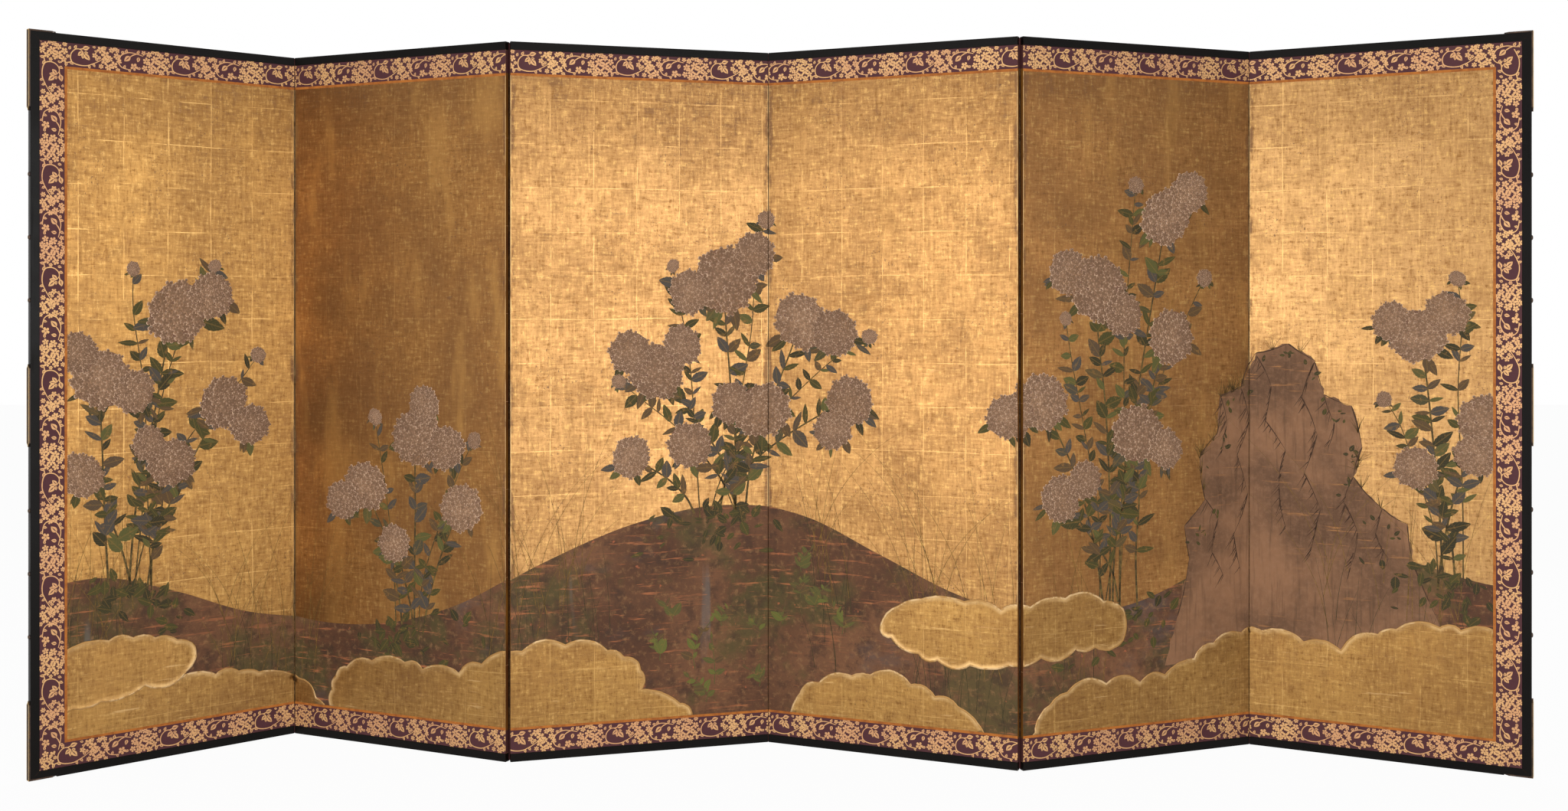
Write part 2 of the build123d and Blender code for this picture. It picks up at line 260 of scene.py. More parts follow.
def sheetsAt(place, wide, high, lap, soft):
    # sheets laid edge over edge: where they lap, and a tone for each sheet
    parts = splitUp(place)
    flat = addNode(place.id_data, "ShaderNodeCombineXYZ", {"X": parts[0], "Y": parts[2]}).outputs[0]
    tones = {"Color1": (0, 0, 0, 1), "Color2": (1, 1, 1, 1), "Mortar": (0.5, 0.5, 0.5, 1)}
    sizes = {"Scale": 1.0, "Mortar Size": lap, "Mortar Smooth": soft, "Brick Width": wide, "Row Height": high}
    inputs = {"Vector": flat, **tones, **sizes}
    laid = addNode(place.id_data, "ShaderNodeTexBrick", inputs, offset=0.0, squash=1.0)
    tone = addNode(place.id_data, "ShaderNodeSeparateColor", {"Color": laid.outputs["Color"]}).outputs[0]
    return laid.outputs["Fac"], tone


# shared effects

def makeLeafGroup():
    # squares of beaten metal, laid edge over edge, with fibres, crinkles, rubbing, scratches and specks
    leaf = dict(square=105 * mm, overlap=1.4 * mm, soft=0.9, wander=9 * mm)
    tree, given, result = newGroup(
        "leafSquares",
        dict(Place="Vector", Tone="Color", Rubbing="Float", Grime="Float", Laps="Float"),
        dict(Color="Color", Metal="Float", Roughness="Float", Height="Float"),
    )
    place, rubbing, grimeAndShade = given["Place"], given["Rubbing"], given["Grime"]
    drift = addNode(tree, "ShaderNodeTexNoise", {"Vector": place, "Scale": 5.0, "Detail": 2.0})
    away = vectorCalc("SUBTRACT", drift.outputs["Color"], (0.5, 0.5, 0.5))
    shaken = vectorCalc("ADD", place, vectorCalc("MULTIPLY", away, (leaf["wander"],) * 3))
    lap, tone = sheetsAt(shaken, leaf["square"], leaf["square"], leaf["overlap"], leaf["soft"])
    lapBroken = times(times(lap, patchesAt(place, 7.0, 0.42, 0.62, 5.0, 0.7)), given["Laps"])
    clouds = noiseAt(place, 3.2, 5.0, 0.65)
    mottle = noiseAt(place, 30.0, 7.0, 0.8)
    fibre = plus(noiseAt(place, (150.0, 1.0, 9.0), 5.0, 0.7), noiseAt(place, (9.0, 1.0, 170.0), 5.0, 0.7))
    grain = plus(noiseAt(place, (150.0, 1.0, 36.0), 4.0, 0.7), noiseAt(place, (34.0, 1.0, 150.0), 4.0, 0.7))
    # how worn each spot is
    worn = addUp((clouds, 0.5), (mottle, 0.8), (fibre, 0.5), (tone, 0.06), (lapBroken, -0.45), (rubbing, 0.5))
    wornMask, bare = rise(worn, 0.96, 1.5), rise(worn, 1.36, 1.5)
    # foil crinkles, where a wandering field crosses its middle
    crossing = calc("ABSOLUTE", minus(noiseAt(place, (16.0, 10.0, 10.0), 1.5, 0.4), 0.5))
    crinkle = times(rise(crossing, 0.006, 0.001), patchesAt(place, 13.0, 0.5, 0.6))
    specks = times(patchesAt(place, 210.0, 0.63, 0.7, 2.0), patchesAt(place, 6.0, 0.44, 0.6, 3.0, 0.6))
    stains = times(patchesAt(place, (20.4, 34.0, 51.0), 0.6, 0.68, 5.0, 0.7),
                   patchesAt(place, 5.0, 0.66, 0.72, 2.0))
    scratches = times(patchesAt(place, (5.0, 1.0, 330.0), 0.68, 0.72, 2.0),
                      patchesAt(place, 2.3, 0.5, 0.6, 2.0))
    streaks = times(patchesAt(place, (14.0, 1.0, 190.0), 0.6, 0.68, 4.0, 0.6),
                    patchesAt(place, (1.9, 1.9, 4.18), 0.54, 0.66))
    # brown smudges, mostly where hands and folds have rubbed, and wavy upright bands of painted sheen, a
    # paler streaked reflection laid on leaf darkened by dirt and painted shade
    smudges = larger(noiseAt(place, (26.0, 1.0, 7.0), 6.0, 0.75), noiseAt(place, (6.0, 1.0, 28.0), 6.0, 0.75))
    smudges = times(rise(smudges, 0.54, 0.7), plus(times(rubbing, 1.2), 0.32), clamp=True)
    paintedSheen = times(patchesAt(place, (11.0, 1.0, 2.4), 0.5, 0.68, 3.0, 0.55), grimeAndShade)
    dark = larger(larger(times(specks, 0.75), times(scratches, 0.55)), times(stains, 0.6))
    # darker brown in clouds: partly dirt, mostly a painted shade that darkens the panels turned away from the
    # lamps
    dirtAndShade = times(grimeAndShade, rise(clouds, 0.3, 0.68, (0.15, 1.1)))
    color = layCoats(
        given["Tone"],
        (tone, 0.12, "7A5222"),
        (wornMask, 0.7, "755027"),
        (bare, 0.6, "6B4728"),
        (rise(grain, 0.98, 0.74), 0.9, "704A1E"),
        (rise(grain, 1.02, 1.24), 0.65, "BF9758"),
        (smudges, 0.75, "6A4528"),
        (lapBroken, 0.55, "C8A062"),
        (crinkle, 0.16, "C8A064"),
        (streaks, 0.4, "C09464"),
        (dark, 1.0, "563518"),
        (dirtAndShade, 1.0, "5F3D22"),
        (paintedSheen, 0.7, "AE8144"),
    )
    metal = times(minus(0.88, times(bare, 0.3)), minus(1.0, times(dark, 0.8)))
    rough = plus(0.34, times(wornMask, 0.12))
    height = addUp((mottle, 0.5), (fibre, 0.3), (lap, 0.12))
    setInputs(result, dict(Color=color, Metal=metal, Roughness=rough, Height=height))
    return tree


def makeWeaveGroup():
    # warp and weft threads, over and under each other
    tree, given, result = newGroup(
        "plainWeave", dict(Place="Vector", Threads="Float"), dict(Height="Float", Thread="Float")
    )
    parts = splitUp(given["Place"])
    warp, weft = (calc("SINE", times(times(parts[axis], given["Threads"]), 2 * pi)) for axis in (0, 2))
    slubs = noiseAt(given["Place"], (60.0, 1.0, 700.0), 2.0)
    setInputs(result, dict(Height=plus(times(times(warp, weft), 0.5), slubs), Thread=slubs))
    return tree


def makeWornAndHighlitEdgeGroup():
    # mask of edges and high spots rubbed by handling, also a painted highlight: a thin light line along every
    # edge
    tree, given, result = newGroup("wornAndHighlitEdges", dict(Width="Float", Place="Vector"), dict(Mask="Float"))
    rounded = addNode(tree, "ShaderNodeBevel", {"Radius": given["Width"]}, samples=4).outputs[0]
    straight = addNode(tree, "ShaderNodeNewGeometry").outputs["Normal"]
    edge = rise(minus(1.0, vectorCalc("DOT_PRODUCT", rounded, straight)), 0.02, 0.16)
    setInputs(result, dict(Mask=times(edge, patchesAt(given["Place"], 90.0, 0.42, 0.62, 4.0, 0.7))))
    return tree


leafSquares = makeLeafGroup()
plainWeave = makeWeaveGroup()
wornAndHighlitEdges = makeWornAndHighlitEdgeGroup()
print("shared effects made")


# materials

def goldGround(material, place, tone, rubbing, grimeAndShade, laps, pale):
    # pale is a mask of where the ground shows through
    leaf = useGroup(leafSquares, place, Tone=tint(tone), Rubbing=rubbing, Grime=grimeAndShade, Laps=laps)
    color = blendColor(pale, leaf["Color"], "D8B27A")
    return cover(material, color, leaf["Height"], 0.6 * mm, 0.6, Metallic=leaf["Metal"],
                 Roughness=leaf["Roughness"])


gilding = dict(
    shine=dict(Coat_Weight=0.12, Coat_Roughness=0.35, Specular_IOR_Level=0.25),
    # each panel was gilded apart: its tone, partly its own and partly a painted shade that browns the panels
    # turned away from the lamps, how darkened it is by dirt and by painted shade, how rubbed it is, and how
    # far its laps show
    tones=("A0773F", "976936", "A77E4D", "9F7645", "9C6D3C", "A67F4F"),
    grimeAndShade=(0.12, 0.56, 0.06, 0.12, 0.42, 0.08),
    rubbing=(0.1, 0.0, 0.1, 0.1, 0.0, 0.0),
    laps=(1.4, 0.5, 0.85, 0.75, 0.4, 1.0),
    worn=14 * mm,      # rubbed beside each fold
    crest=1.6 * mm,    # rubbed pale along the very edge
    high=(1.3, 1.65),  # rubbed above these heights
)


def panelGold(number):
    # leaf on one panel, more rubbed and dirtied by its folds, and rubbed towards its head
    material = newMaterial(f"goldLeafPanel{number}", **gilding["shine"])
    tone, grimeAndShade, rubbing, laps = (gilding[name][number - 1] for name in ("tones", "grimeAndShade", "rubbing", "laps"))
    place = boardPlace(material, number)
    parts = splitUp(place)
    half, worn, crest = screen["panelWidth"] / 2, gilding["worn"], gilding["crest"]
    fromMiddle = calc("ABSOLUTE", minus(parts[0], (number - 0.5) * screen["panelWidth"]))
    nearFold = times(rise(fromMiddle, half - worn, half - 0.2 * worn),
                     patchesAt(place, (27.0, 9.0, 9.0), 0.46, 0.62, 4.0, 0.65))
    pale = times(rise(fromMiddle, half - crest, half - 0.4 * crest),
                 patchesAt(place, 16.0, 0.34, 0.52, 4.0, 0.65, (0.1, 0.8)))
    rubbing = plus(addUp((nearFold, 0.9), (rise(parts[2], *gilding["high"]), 0.22)), rubbing)
    # the darkening passed on here is partly dirt beside the folds and partly a painted shade on the panels
    # turned away from the lamps
    return goldGround(material, place, tone, rubbing, plus(times(nearFold, 0.4), grimeAndShade), laps, pale)


def cloudGold():
    # the shell white of the rim shows through for a little way inwards
    material = newMaterial("goldCloud", **gilding["shine"])
    place = layoutPlace(material)
    fade = times(rise(readLayer(material, "edge"), 0.0, 1.0),
                 patchesAt(place, 11.0, 0.42, 0.62, 4.0, 0.6, (0.15, 0.8)))
    abraded = times(patchesAt(place, (7.0, 1.0, 100.0), 0.62, 0.7, 4.0, 0.65), 0.5)
    return goldGround(material, place, "A0783F", 0.05, 0.24, 0.9, times(larger(fade, abraded), 0.7))


def cloudRim():
    # shell white under thin gold, standing a little proud
    material = newMaterial("paleCloudRim", Roughness=0.5, Metallic=0.55, Specular_IOR_Level=0.2)
    place = layoutPlace(material)
    worn = larger(patchesAt(place, 34.0, 0.46, 0.58, 5.0, 0.75), patchesAt(place, 7.0, 0.42, 0.54, 4.0, 0.6))
    return cover(material, blendColor(times(worn, 0.9), "C6A577", "9E7540"), noiseAt(place, 240.0), 0.4 * mm)


def earthPigment():
    # brown mineral ground: green and slate patches, run-down stains, abraded to red in level streaks
    material = newMaterial("earthPigment", Specular_IOR_Level=0.15)
    place = layoutPlace(material)
    patches = noiseAt(place, 2.2, 4.0, 0.6)
    fine = noiseAt(place, 60.0, 5.0, 0.7)
    green = patchesAt(place, 3.4, 0.47, 0.6, 5.0, 0.7)
    blotches = patchesAt(place, 16.0, 0.48, 0.64, 4.0, 0.65)
    slate = patchesAt(place, (2.9, 2.9, 4.64), 0.56, 0.7, 5.0, 0.65)
    stains = patchesAt(place, (13.0, 1.0, 1.1), 0.66, 0.74, 3.0, 0.6)
    abraded = times(patchesAt(place, (8.0, 1.0, 90.0), 0.56, 0.66, 4.0, 0.65), rise(patches, 0.36, 0.56))
    chips = patchesAt(place, 48.0, 0.66, 0.71, 3.0, 0.6)
    color = layCoats(
        blendColor(rise(patches, 0.38, 0.62), "704C34", "503424"),
        (green, 0.75, "4B4526"),
        (blotches, 0.65, "3C2A20"),
        (slate, 0.6, "524A48"),
        (rise(fine, 0.5, 0.7), 0.6, "8E6A48"),
        (rise(fine, 0.46, 0.3), 0.5, "35261C"),
        (stains, 0.45, "6A6660"),
        (abraded, 0.7, "AC6A44"),
        (chips, 0.65, "A8603F"),
    )
    return cover(material, color, fine, 0.4 * mm, Roughness=rise(fine, 0.2, 0.8, (0.5, 0.75)))


def rockPigment():
    # mauve-brown rock, washed darker in its hollows and flaked along its level cracks
    material = newMaterial("rockPigment", Roughness=0.7, Specular_IOR_Level=0.15)
    place = layoutPlace(material)
    wash = noiseAt(place, 4.2, 4.0, 0.62)
    fine = noiseAt(place, 75.0, 5.0, 0.7)
    brushed = patchesAt(place, (90.0, 1.0, 7.0), 0.5, 0.7, 4.0, 0.65)
    flaked = times(patchesAt(place, (9.0, 1.0, 110.0), 0.58, 0.68, 4.0, 0.6), rise(wash, 0.44, 0.6))
    color = layCoats(
        blendColor(rise(wash, 0.36, 0.64), "8A6448", "614633"),
        (rise(fine, 0.42, 0.72), 0.4, "936F55"),
        (brushed, 0.5, "4E3828"),
        (flaked, 0.6, "B07A4A"),
    )
    return cover(material, color, fine, 0.4 * mm)


def headPaint():
    # thick matt mauve with pale petal edges and dark eyes, read from the heads' own layers; the tone layer
    # darkens each head towards its rim as painted shade
    material = newMaterial("mauveRelief", Roughness=0.75, Specular_IOR_Level=0.15)
    place = layoutPlace(material)
    fine = noiseAt(place, 150.0, 4.0, 0.7)
    color = layCoats(
        blendColor(readLayer(material, "tone"), "705240", "AC8668"),
        (times(rise(readLayer(material, "edge"), 0.62, 0.98), rise(fine, 0.3, 0.55)), 1.0, "D4B498"),
        (times(patchesAt(place, 8.0, 0.46, 0.7, 3.0, 0.6), rise(fine, 0.42, 0.66)), 0.5, "94693E"),
        (readLayer(material, "across"), 0.6, "5A4634"),
    )
    return cover(material, color, fine, 0.4 * mm)


def leafPaint():
    # green, olive, brown and slate leaves with paler veins; across and along say where on the leaf
    material = newMaterial("leafPigment", Roughness=0.66, Specular_IOR_Level=0.18)
    place = layoutPlace(material)
    tone, across = readLayer(material, "tone"), calc("ABSOLUTE", readLayer(material, "across"))
    slant = times(minus(readLayer(material, "along"), times(across, 0.32)), 6.5)
    nearVein = calc("ABSOLUTE", minus(calc("FRACT", slant), 0.5))
    veins = larger(times(rise(nearVein, 0.12, 0.03), 0.5), rise(across, 0.12, 0.04))
    kinds = ((0.36, "46403A"), (0.58, "54402A"), (0.74, "52502A"), (0.88, "5C5F2C"))
    color = layCoats(
        blendColor(rise(tone, 0.0, 0.34), "2F2B1A", "44401F"),
        *((rise(tone, start, start + 0.04), 1.0, code) for start, code in kinds),
        (veins, 0.4, "80622F"),
        (patchesAt(place, 60.0, 0.54, 0.66, 5.0, 0.72), 0.55, "8A6434"),
    )
    return cover(material, color, noiseAt(place, 200.0), 0.3 * mm, 0.4)


def linePaint(name, dark, light):
    # brush lines, thinner and lighter where the paint ran out
    material = newMaterial(name, Roughness=0.7, Specular_IOR_Level=0.15)
    dry = patchesAt(layoutPlace(material), 55.0, 0.4, 0.68, 4.0, 0.7)
    return feed(material, Base_Color=blendColor(dry, dark, light))


def brocadeGround(number):
    # plum silk satin
    material = newMaterial(f"plumSilk{number}", Roughness=0.55, Specular_IOR_Level=0.15)
    weave = useGroup(plainWeave, boardPlace(material, number), Threads=900.0)
    faded = noiseAt(objectPlace(material), 14.0, 3.0, 0.6)
    color = layCoats(blendColor(faded, "47262A", "563135"), (weave["Thread"], 0.35, "361C20"))
    return cover(material, color, weave["Height"], 0.12 * mm)


def brocadeThread():
    # flat gold-paper threads among pink-buff silk, with plum showing along the veins and in the eyes
    material = newMaterial("wovenGold", Roughness=0.45, Metallic=0.35, Specular_IOR_Level=0.25)
    place = layoutPlace(material)
    weave = useGroup(plainWeave, place, Threads=800.0)
    color = layCoats(
        blendColor(patchesAt(place, 7.0, 0.38, 0.62, 3.0, 0.6), "CFA26C", "C69468"),
        (rise(weave["Thread"], 0.45, 0.7), 0.45, "A87550"),
        (rise(readLayer(material, "across"), 0.3, 0.16), 0.9, "4E2A2C"),
    )
    return cover(material, color, weave["Height"], 0.15 * mm, 0.6)


def narrowSilk(number):
    material = newMaterial(f"orangeSilk{number}", Roughness=0.6, Specular_IOR_Level=0.15)
    place = boardPlace(material, number)
    weave = useGroup(plainWeave, place, Threads=700.0)
    color = blendColor(patchesAt(place, 45.0, 0.35, 0.7, 4.0, 0.65), "B06A2C", "8C4E22")
    return cover(material, color, weave["Height"], 0.15 * mm, 0.6)


def blackLacquer():
    material = newMaterial("blackLacquer", Specular_IOR_Level=0.07)
    place = objectPlace(material)
    haze = noiseAt(place, 5.0, 4.0, 0.6)
    scuffs = patchesAt(place, (60.0, 60.0, 4.0), 0.6, 0.72, 3.0, 0.6)
    # edges rubbed through to brown, partly wear and partly a painted highlight, a thin light line along the
    # frame's edges
    rubbed = useGroup(wornAndHighlitEdges, place, Width=1.2 * mm)["Mask"]
    color = layCoats(blendColor(haze, "0A0908", "120F0D"), (rubbed, 0.7, "4A2A1A"))
    rough = plus(rise(haze, 0.3, 0.7, (0.26, 0.4)), times(scuffs, 0.1))
    return cover(material, color, noiseAt(place, 26.0, 2.0), 0.3 * mm, 0.15, Roughness=rough)


def backPaper(number):
    # plain laid paper, toned and foxed, in sheets joined edge over edge
    material = newMaterial(f"backingPaper{number}", Roughness=0.85, Specular_IOR_Level=0.15)
    place = boardPlace(material, number)
    laid = noiseAt(place, (14.0, 1.0, 420.0), 3.0, 0.6)
    lap, shade = sheetsAt(place, screen["panelWidth"] / 2, screen["height"] / 6, 2.2 * mm, 0.6)
    color = layCoats(
        blendColor(patchesAt(place, 4.0, 0.3, 0.7, 5.0, 0.6), "867559", "978668"),
        (shade, 0.25, "6E6049"),
        (lap, 0.5, "5C4E3A"),
        (laid, 0.3, "65573F"),
        (patchesAt(place, 85.0, 0.68, 0.76, 2.0), 0.5, "5A3E22"),
    )
    return cover(material, color, plus(laid, lap), 0.3 * mm, 0.4)


def hingePaper(name, dark, light):
    # brown dyed paper, rubbed pale at the creases, partly wear and partly a painted highlight on its edges,
    # with plum silk wrapped round it beside the borders
    material = newMaterial(name, Roughness=0.75, Specular_IOR_Level=0.15)
    place = objectPlace(material)
    level = splitUp(place)[2]
    fibres = noiseAt(place, (120.0, 120.0, 16.0), 4.0, 0.65)
    color = layCoats(
        blendColor(patchesAt(place, 6.0, 0.35, 0.65, 3.0, 0.6), dark, light),
        (fibres, 0.4, "3E2410"),
        (useGroup(wornAndHighlitEdges, place, Width=0.6 * mm)["Mask"], 0.8, "B08A5A"),
    )
    wrapHigh = screen["top"] - screen["brocadeWidth"]
    wrapLow = screen["bottom"] + screen["brocadeWidth"]
    wrapped = larger(rise(level, wrapHigh, wrapHigh + mm), rise(level, wrapLow, wrapLow - mm))
    color = blendColor(wrapped, color, blendColor(fibres, "3C2023", "56302E"))
    return cover(material, color, fibres, 0.3 * mm)


def cedarWood():
    material = newMaterial("cedarWood", Roughness=0.6)
    grain = noiseAt(objectPlace(material), (90.0, 90.0, 4.0), 4.0, 0.6)
    return cover(material, blendColor(rise(grain, 0.35, 0.65), "B98A5C", "93653C"), grain, 0.3 * mm, 0.4)


def darkCopper(name, start, outward):
    # darkened copper, with gilding kept on what stands highest, measured outward from start
    material = newMaterial(name)
    place = objectPlace(material)
    patina = noiseAt(place, 70.0, 5.0, 0.65)
    reach = vectorCalc("DOT_PRODUCT", vectorCalc("SUBTRACT", place, start), outward)
    gilded = times(rise(reach, 2.9 * mm, 3.3 * mm), rise(patina, 0.3, 0.5, (0.55, 1.0)))
    color = layCoats(blendColor(rise(patina, 0.35, 0.7), "2C2019", "4A3526"), (gilded, 1.0, "B8924A"))
    return cover(material, color, patina, 0.3 * mm, 0.4, Metallic=plus(0.6, times(gilded, 0.35)),
                 Roughness=rise(patina, 0.3, 0.7, (0.32, 0.52)))


def setFinish(thing, *finishes):
    if thing.data.materials:  # on a new piece, clearing would put every face back to the first finish
        thing.data.materials.clear()
    for finish in finishes:
        thing.data.materials.append(finish)


def dressNodes():
    lacquer, hinge, cedar = blackLacquer(), hingePaper("hingePaper", "5E3412", "7C4F16"), cedarWood()
    for number in panels:
        own = dict(
            painting=panelGold(number), back_paper=backPaper(number), brocade=brocadeGround(number),
            narrow_strip=narrowSilk(number), top_rail=lacquer, bottom_rail=lacquer, hinge_papers=hinge,
            lattice=cedar,
        )
        for piece, finish in own.items():
            setFinish(cadNodes[f"{piece}_{number}"], finish)
    for side, number, end, sign in sides:
        outward = (boards[number].to_3x3() @ Vector((sign, 0, 0)))[:]
        metal = darkCopper(f"{side}Copper", boards[number] @ Vector((end, 0, 0)), outward)
        setFinish(cadNodes[f"{side}_stile"], lacquer)
        corners = [f"{place}_{side}_corner_fitting" for place in ("top", "bottom")]
        for piece in (f"{side}_edge_fitting", f"{side}_dome_nails", *corners):
            setFinish(cadNodes[piece], metal)


dressNodes()
print("packed pieces finished")


# drawing tools: designs are drawn on a board, x along the opened screen, y up, z towards the viewer

def newDesign():
    design = bmesh.new()
    for name in ("edge", "tone", "across", "along"):
        design.verts.layers.float.new(name)
    design.loops.layers.uv.new("layout")
    return design


def setTone(design, verts, value):
    tone = design.verts.layers.float["tone"]
    for vert in verts:
        vert[tone] = value


def disc(design, segments, radius=1.0):
    made = bmesh.ops.create_circle(design, cap_ends=True, cap_tris=True, segments=segments, radius=radius)
    return made["verts"]


def asStamp(design, name):
    stamp = bpy.data.meshes.new(name)
    design.to_mesh(stamp)
    design.free()
    return stamp


def asFacingStamp(design, name):
    design.normal_update()
    faceForward(design)
    return asStamp(design, name)


def press(design, stamp, matrix, tone=None, fade=1.0):
    # adds a copy of a stamp, moved by matrix, with a tone of its own or its own tones faded
    copy = stamp.copy()
    copy.transform(matrix)
    tones = copy.attributes["tone"].data
    if tone is not None:
        tones.foreach_set("value", [tone] * len(tones))
    elif fade != 1.0:
        tones.foreach_set("value", [item.value * fade for item in tones])
    design.from_mesh(copy)
    bpy.data.meshes.remove(copy)


def placing(x, y, lift=0.0, turn=0.0, size=1.0, squeeze=1.0):
    sized = Matrix.Diagonal((size, size * squeeze, 1.0, 1.0))
    return Matrix.Translation((x, y, lift)) @ Matrix.Rotation(turn, 4, "Z") @ sized


def ribbon(design, line, width, lift=0.0, tone=0.0):
    # a strip of grid bent along a line of (x, y); width is a function of the way along, 0 to 1
    steps = len(line) - 1
    made = bmesh.ops.create_grid(design, x_segments=steps, y_segments=1, size=1)["verts"]
    for vert in made:
        index = round((vert.co.x + 1) / 2 * steps)
        side = 1 if vert.co.y > 0 else -1
        before, after = Vector(line[max(index - 1, 0)]), Vector(line[min(index + 1, steps)])
        run = (after - before).normalized()
        half = width(index / steps) / 2 * side
        x, y = line[index]
        vert.co = (x - run.y * half, y + run.x * half, lift)
    setTone(design, made, tone)
    return made


def inMetres(points):
    return [(x * mm, y * mm) for x, y in points]


def curveThrough(points, steps):
    # an even curve through given points
    line = []
    ends = [points[0]] + list(points) + [points[-1]]
    for a, b, c, d in zip(ends, ends[1:], ends[2:], ends[3:]):
        for step in range(steps):
            t = step / steps
            line.append(tuple(
                0.5 * (2 * b[k] + (c[k] - a[k]) * t + (2 * a[k] - 5 * b[k] + 4 * c[k] - d[k]) * t ** 2
                       + (3 * b[k] - a[k] - 3 * c[k] + d[k]) * t ** 3)
                for k in (0, 1)
            ))
    line.append(tuple(points[-1]))
    return line


def addWalls(design):
    # brings the open edges of a raised drawing down to the sheet
    edges = [edge for edge in design.edges if edge.is_boundary]
    grown = bmesh.ops.extrude_edge_only(design, edges=edges)["geom"]
    for item in grown:
        if isinstance(item, bmesh.types.BMVert):
            item.co.z = 0.0


def faceForward(design):
    turned = [face for face in design.faces if face.normal.z < 0]
    bmesh.ops.reverse_faces(design, faces=turned)


def markLayout(design):
    layout = design.loops.layers.uv["layout"]
    for face in design.faces:
        for loop in face.loops:
            loop[layout].uv = loop.vert.co.xy


def cutAway(design, at, outward):
    everything = design.verts[:] + design.edges[:] + design.faces[:]
    bmesh.ops.bisect_plane(design, geom=everything, dist=1e-7, plane_co=at, plane_no=outward,
                           clear_outer=True)


def trim(design, left, right, low, high):
    # keeps what lies between two uprights and two levels
    cutAway(design, (left, 0, 0), (-1, 0, 0))
    cutAway(design, (right, 0, 0), (1, 0, 0))
    cutAway(design, (0, low, 0), (0, -1, 0))
    cutAway(design, (0, high, 0), (0, 1, 0))


def addToScene(name, data):
    piece = bpy.data.objects.new(name, data)
    bpy.context.scene.collection.objects.link(piece)
    return piece


def asObject(shape, name, *finishes):
    mesh = bpy.data.meshes.new(name)
    shape.to_mesh(mesh)
    piece = addToScene(name, mesh)
    setFinish(piece, *finishes)
    return piece


def makePiece(shape, name, finishes, body):
    piece = asObject(shape, name, *finishes)
    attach(piece, body)
    return piece


def panelShare(design, left, right, low, high, small):
    # a panel's own part of a design
    share = design.copy()
    if small:
        # what lies clear of the panel goes first, because cutting it is slow
        far = [vert for vert in share.verts if not left - small < vert.co.x < right + small]
        bmesh.ops.delete(share, geom=far, context="VERTS")
    trim(share, left, right, low, high)
    addWalls(share)
    share.normal_update()
    return share


def hangOnPanels(design, name, *finishes, small=0.0):
    # cuts a design at the folds and the borders, and lays each share on its panel's painting;
    # small is the size that none of its faces reaches
    faceForward(design)
    markLayout(design)
    margin = screen["frameWidth"] + screen["border"]
    low, high = screen["bottom"] + screen["border"], screen["top"] - screen["border"]
    for number in panels:
        left = (number - 1) * screen["panelWidth"] + (margin if number == 1 else 0)
        right = number * screen["panelWidth"] - (margin if number == screen["panels"] else 0)
        share = panelShare(design, left, right, low, high, small)
        if share.faces:
            shift = Matrix.Translation((-(number - 1) * screen["panelWidth"], 0, -screen["paintingFace"]))
            bmesh.ops.transform(share, matrix=boards[number] @ shift, verts=share.verts)
            makePiece(share, f"{name}_{number}", finishes, f"panel_{number}")
        share.free()
    print(name, len(design.faces), "faces")
    design.free()


# gold mist

mist = dict(
    seed=3,
    lift=0.42 * mm,
    step=0.4 * mm,           # every second bank lies in front of its neighbours
    rim=4.6 * mm,
    fade=11 * mm,
    rimHeight=0.3 * mm,
    lobe=(34, 104),          # chords of the lobes, in millimetres
    swell=(0.08, 0.22),      # how far a lobe bows out, as a share of its chord
    shake=0.7 * mm,
    lobeSteps=9,
    banks=(
        # points that a smooth outline runs through, in millimetres
        ((20, 30), (20, 170), (120, 196), (260, 204), (360, 178), (470, 182), (590, 160), (680, 126),
         (712, 70),
         (700, 30)),
        ((-20, 150), (-10, 240), (70, 286), (210, 298), (330, 280), (396, 242), (380, 204),
         (270, 180), (120, 150)),
        ((752, 30), (748, 96), (780, 176), (930, 214), (1060, 196), (1160, 206), (1250, 252),
         (1400, 272), (1520, 246),
         (1588, 196), (1560, 160), (1640, 140), (1700, 90), (1690, 30)),
        ((2196, 300), (2230, 356), (2350, 392), (2500, 372), (2640, 396), (2790, 372), (2846, 316),
         (2790, 276),
         (2640, 268), (2480, 236), (2320, 244)),
        ((1960, 30), (1976, 118), (2080, 176), (2220, 192), (2330, 158), (2420, 120), (2440, 30)),
        ((2560, 30), (2590, 130), (2700, 186), (2860, 180), (2990, 214), (3080, 262), (3230, 284),
         (3370, 250),
         (3440, 286), (3560, 326), (3700, 322), (3900, 290), (3900, 30)),
    ),
)


def mistOutline(guide, chance):
    # lobes of uneven size along a smooth closed guide
    line = [Vector(point) for point in curveThrough(list(guide) + [guide[0]], 12)]
    cusps, travelled, nextAt = [], 0.0, 0.0
    for here, there in zip(line, line[1:]):
        travelled += (there - here).length
        if travelled > nextAt:
            cusps.append(there)
            nextAt = travelled + chance.uniform(*mist["lobe"])
    if (cusps[-1] - cusps[0]).length < mist["lobe"][0]:
        cusps.pop()
    points = []
    for here, there in zip(cusps, cusps[1:] + cusps[:1]):
        start, chord = here * mm, (there - here) * mm
        out = Vector((-chord.y, chord.x)) * chance.uniform(*mist["swell"])
        for step in range(mist["lobeSteps"]):
            t = step / mist["lobeSteps"]
            shake = Vector((chance.uniform(-1, 1), chance.uniform(-1, 1))) * mist["shake"]
            points.append(start + chord * t + out * sin(pi * t) ** 0.8 + shake)
    return points


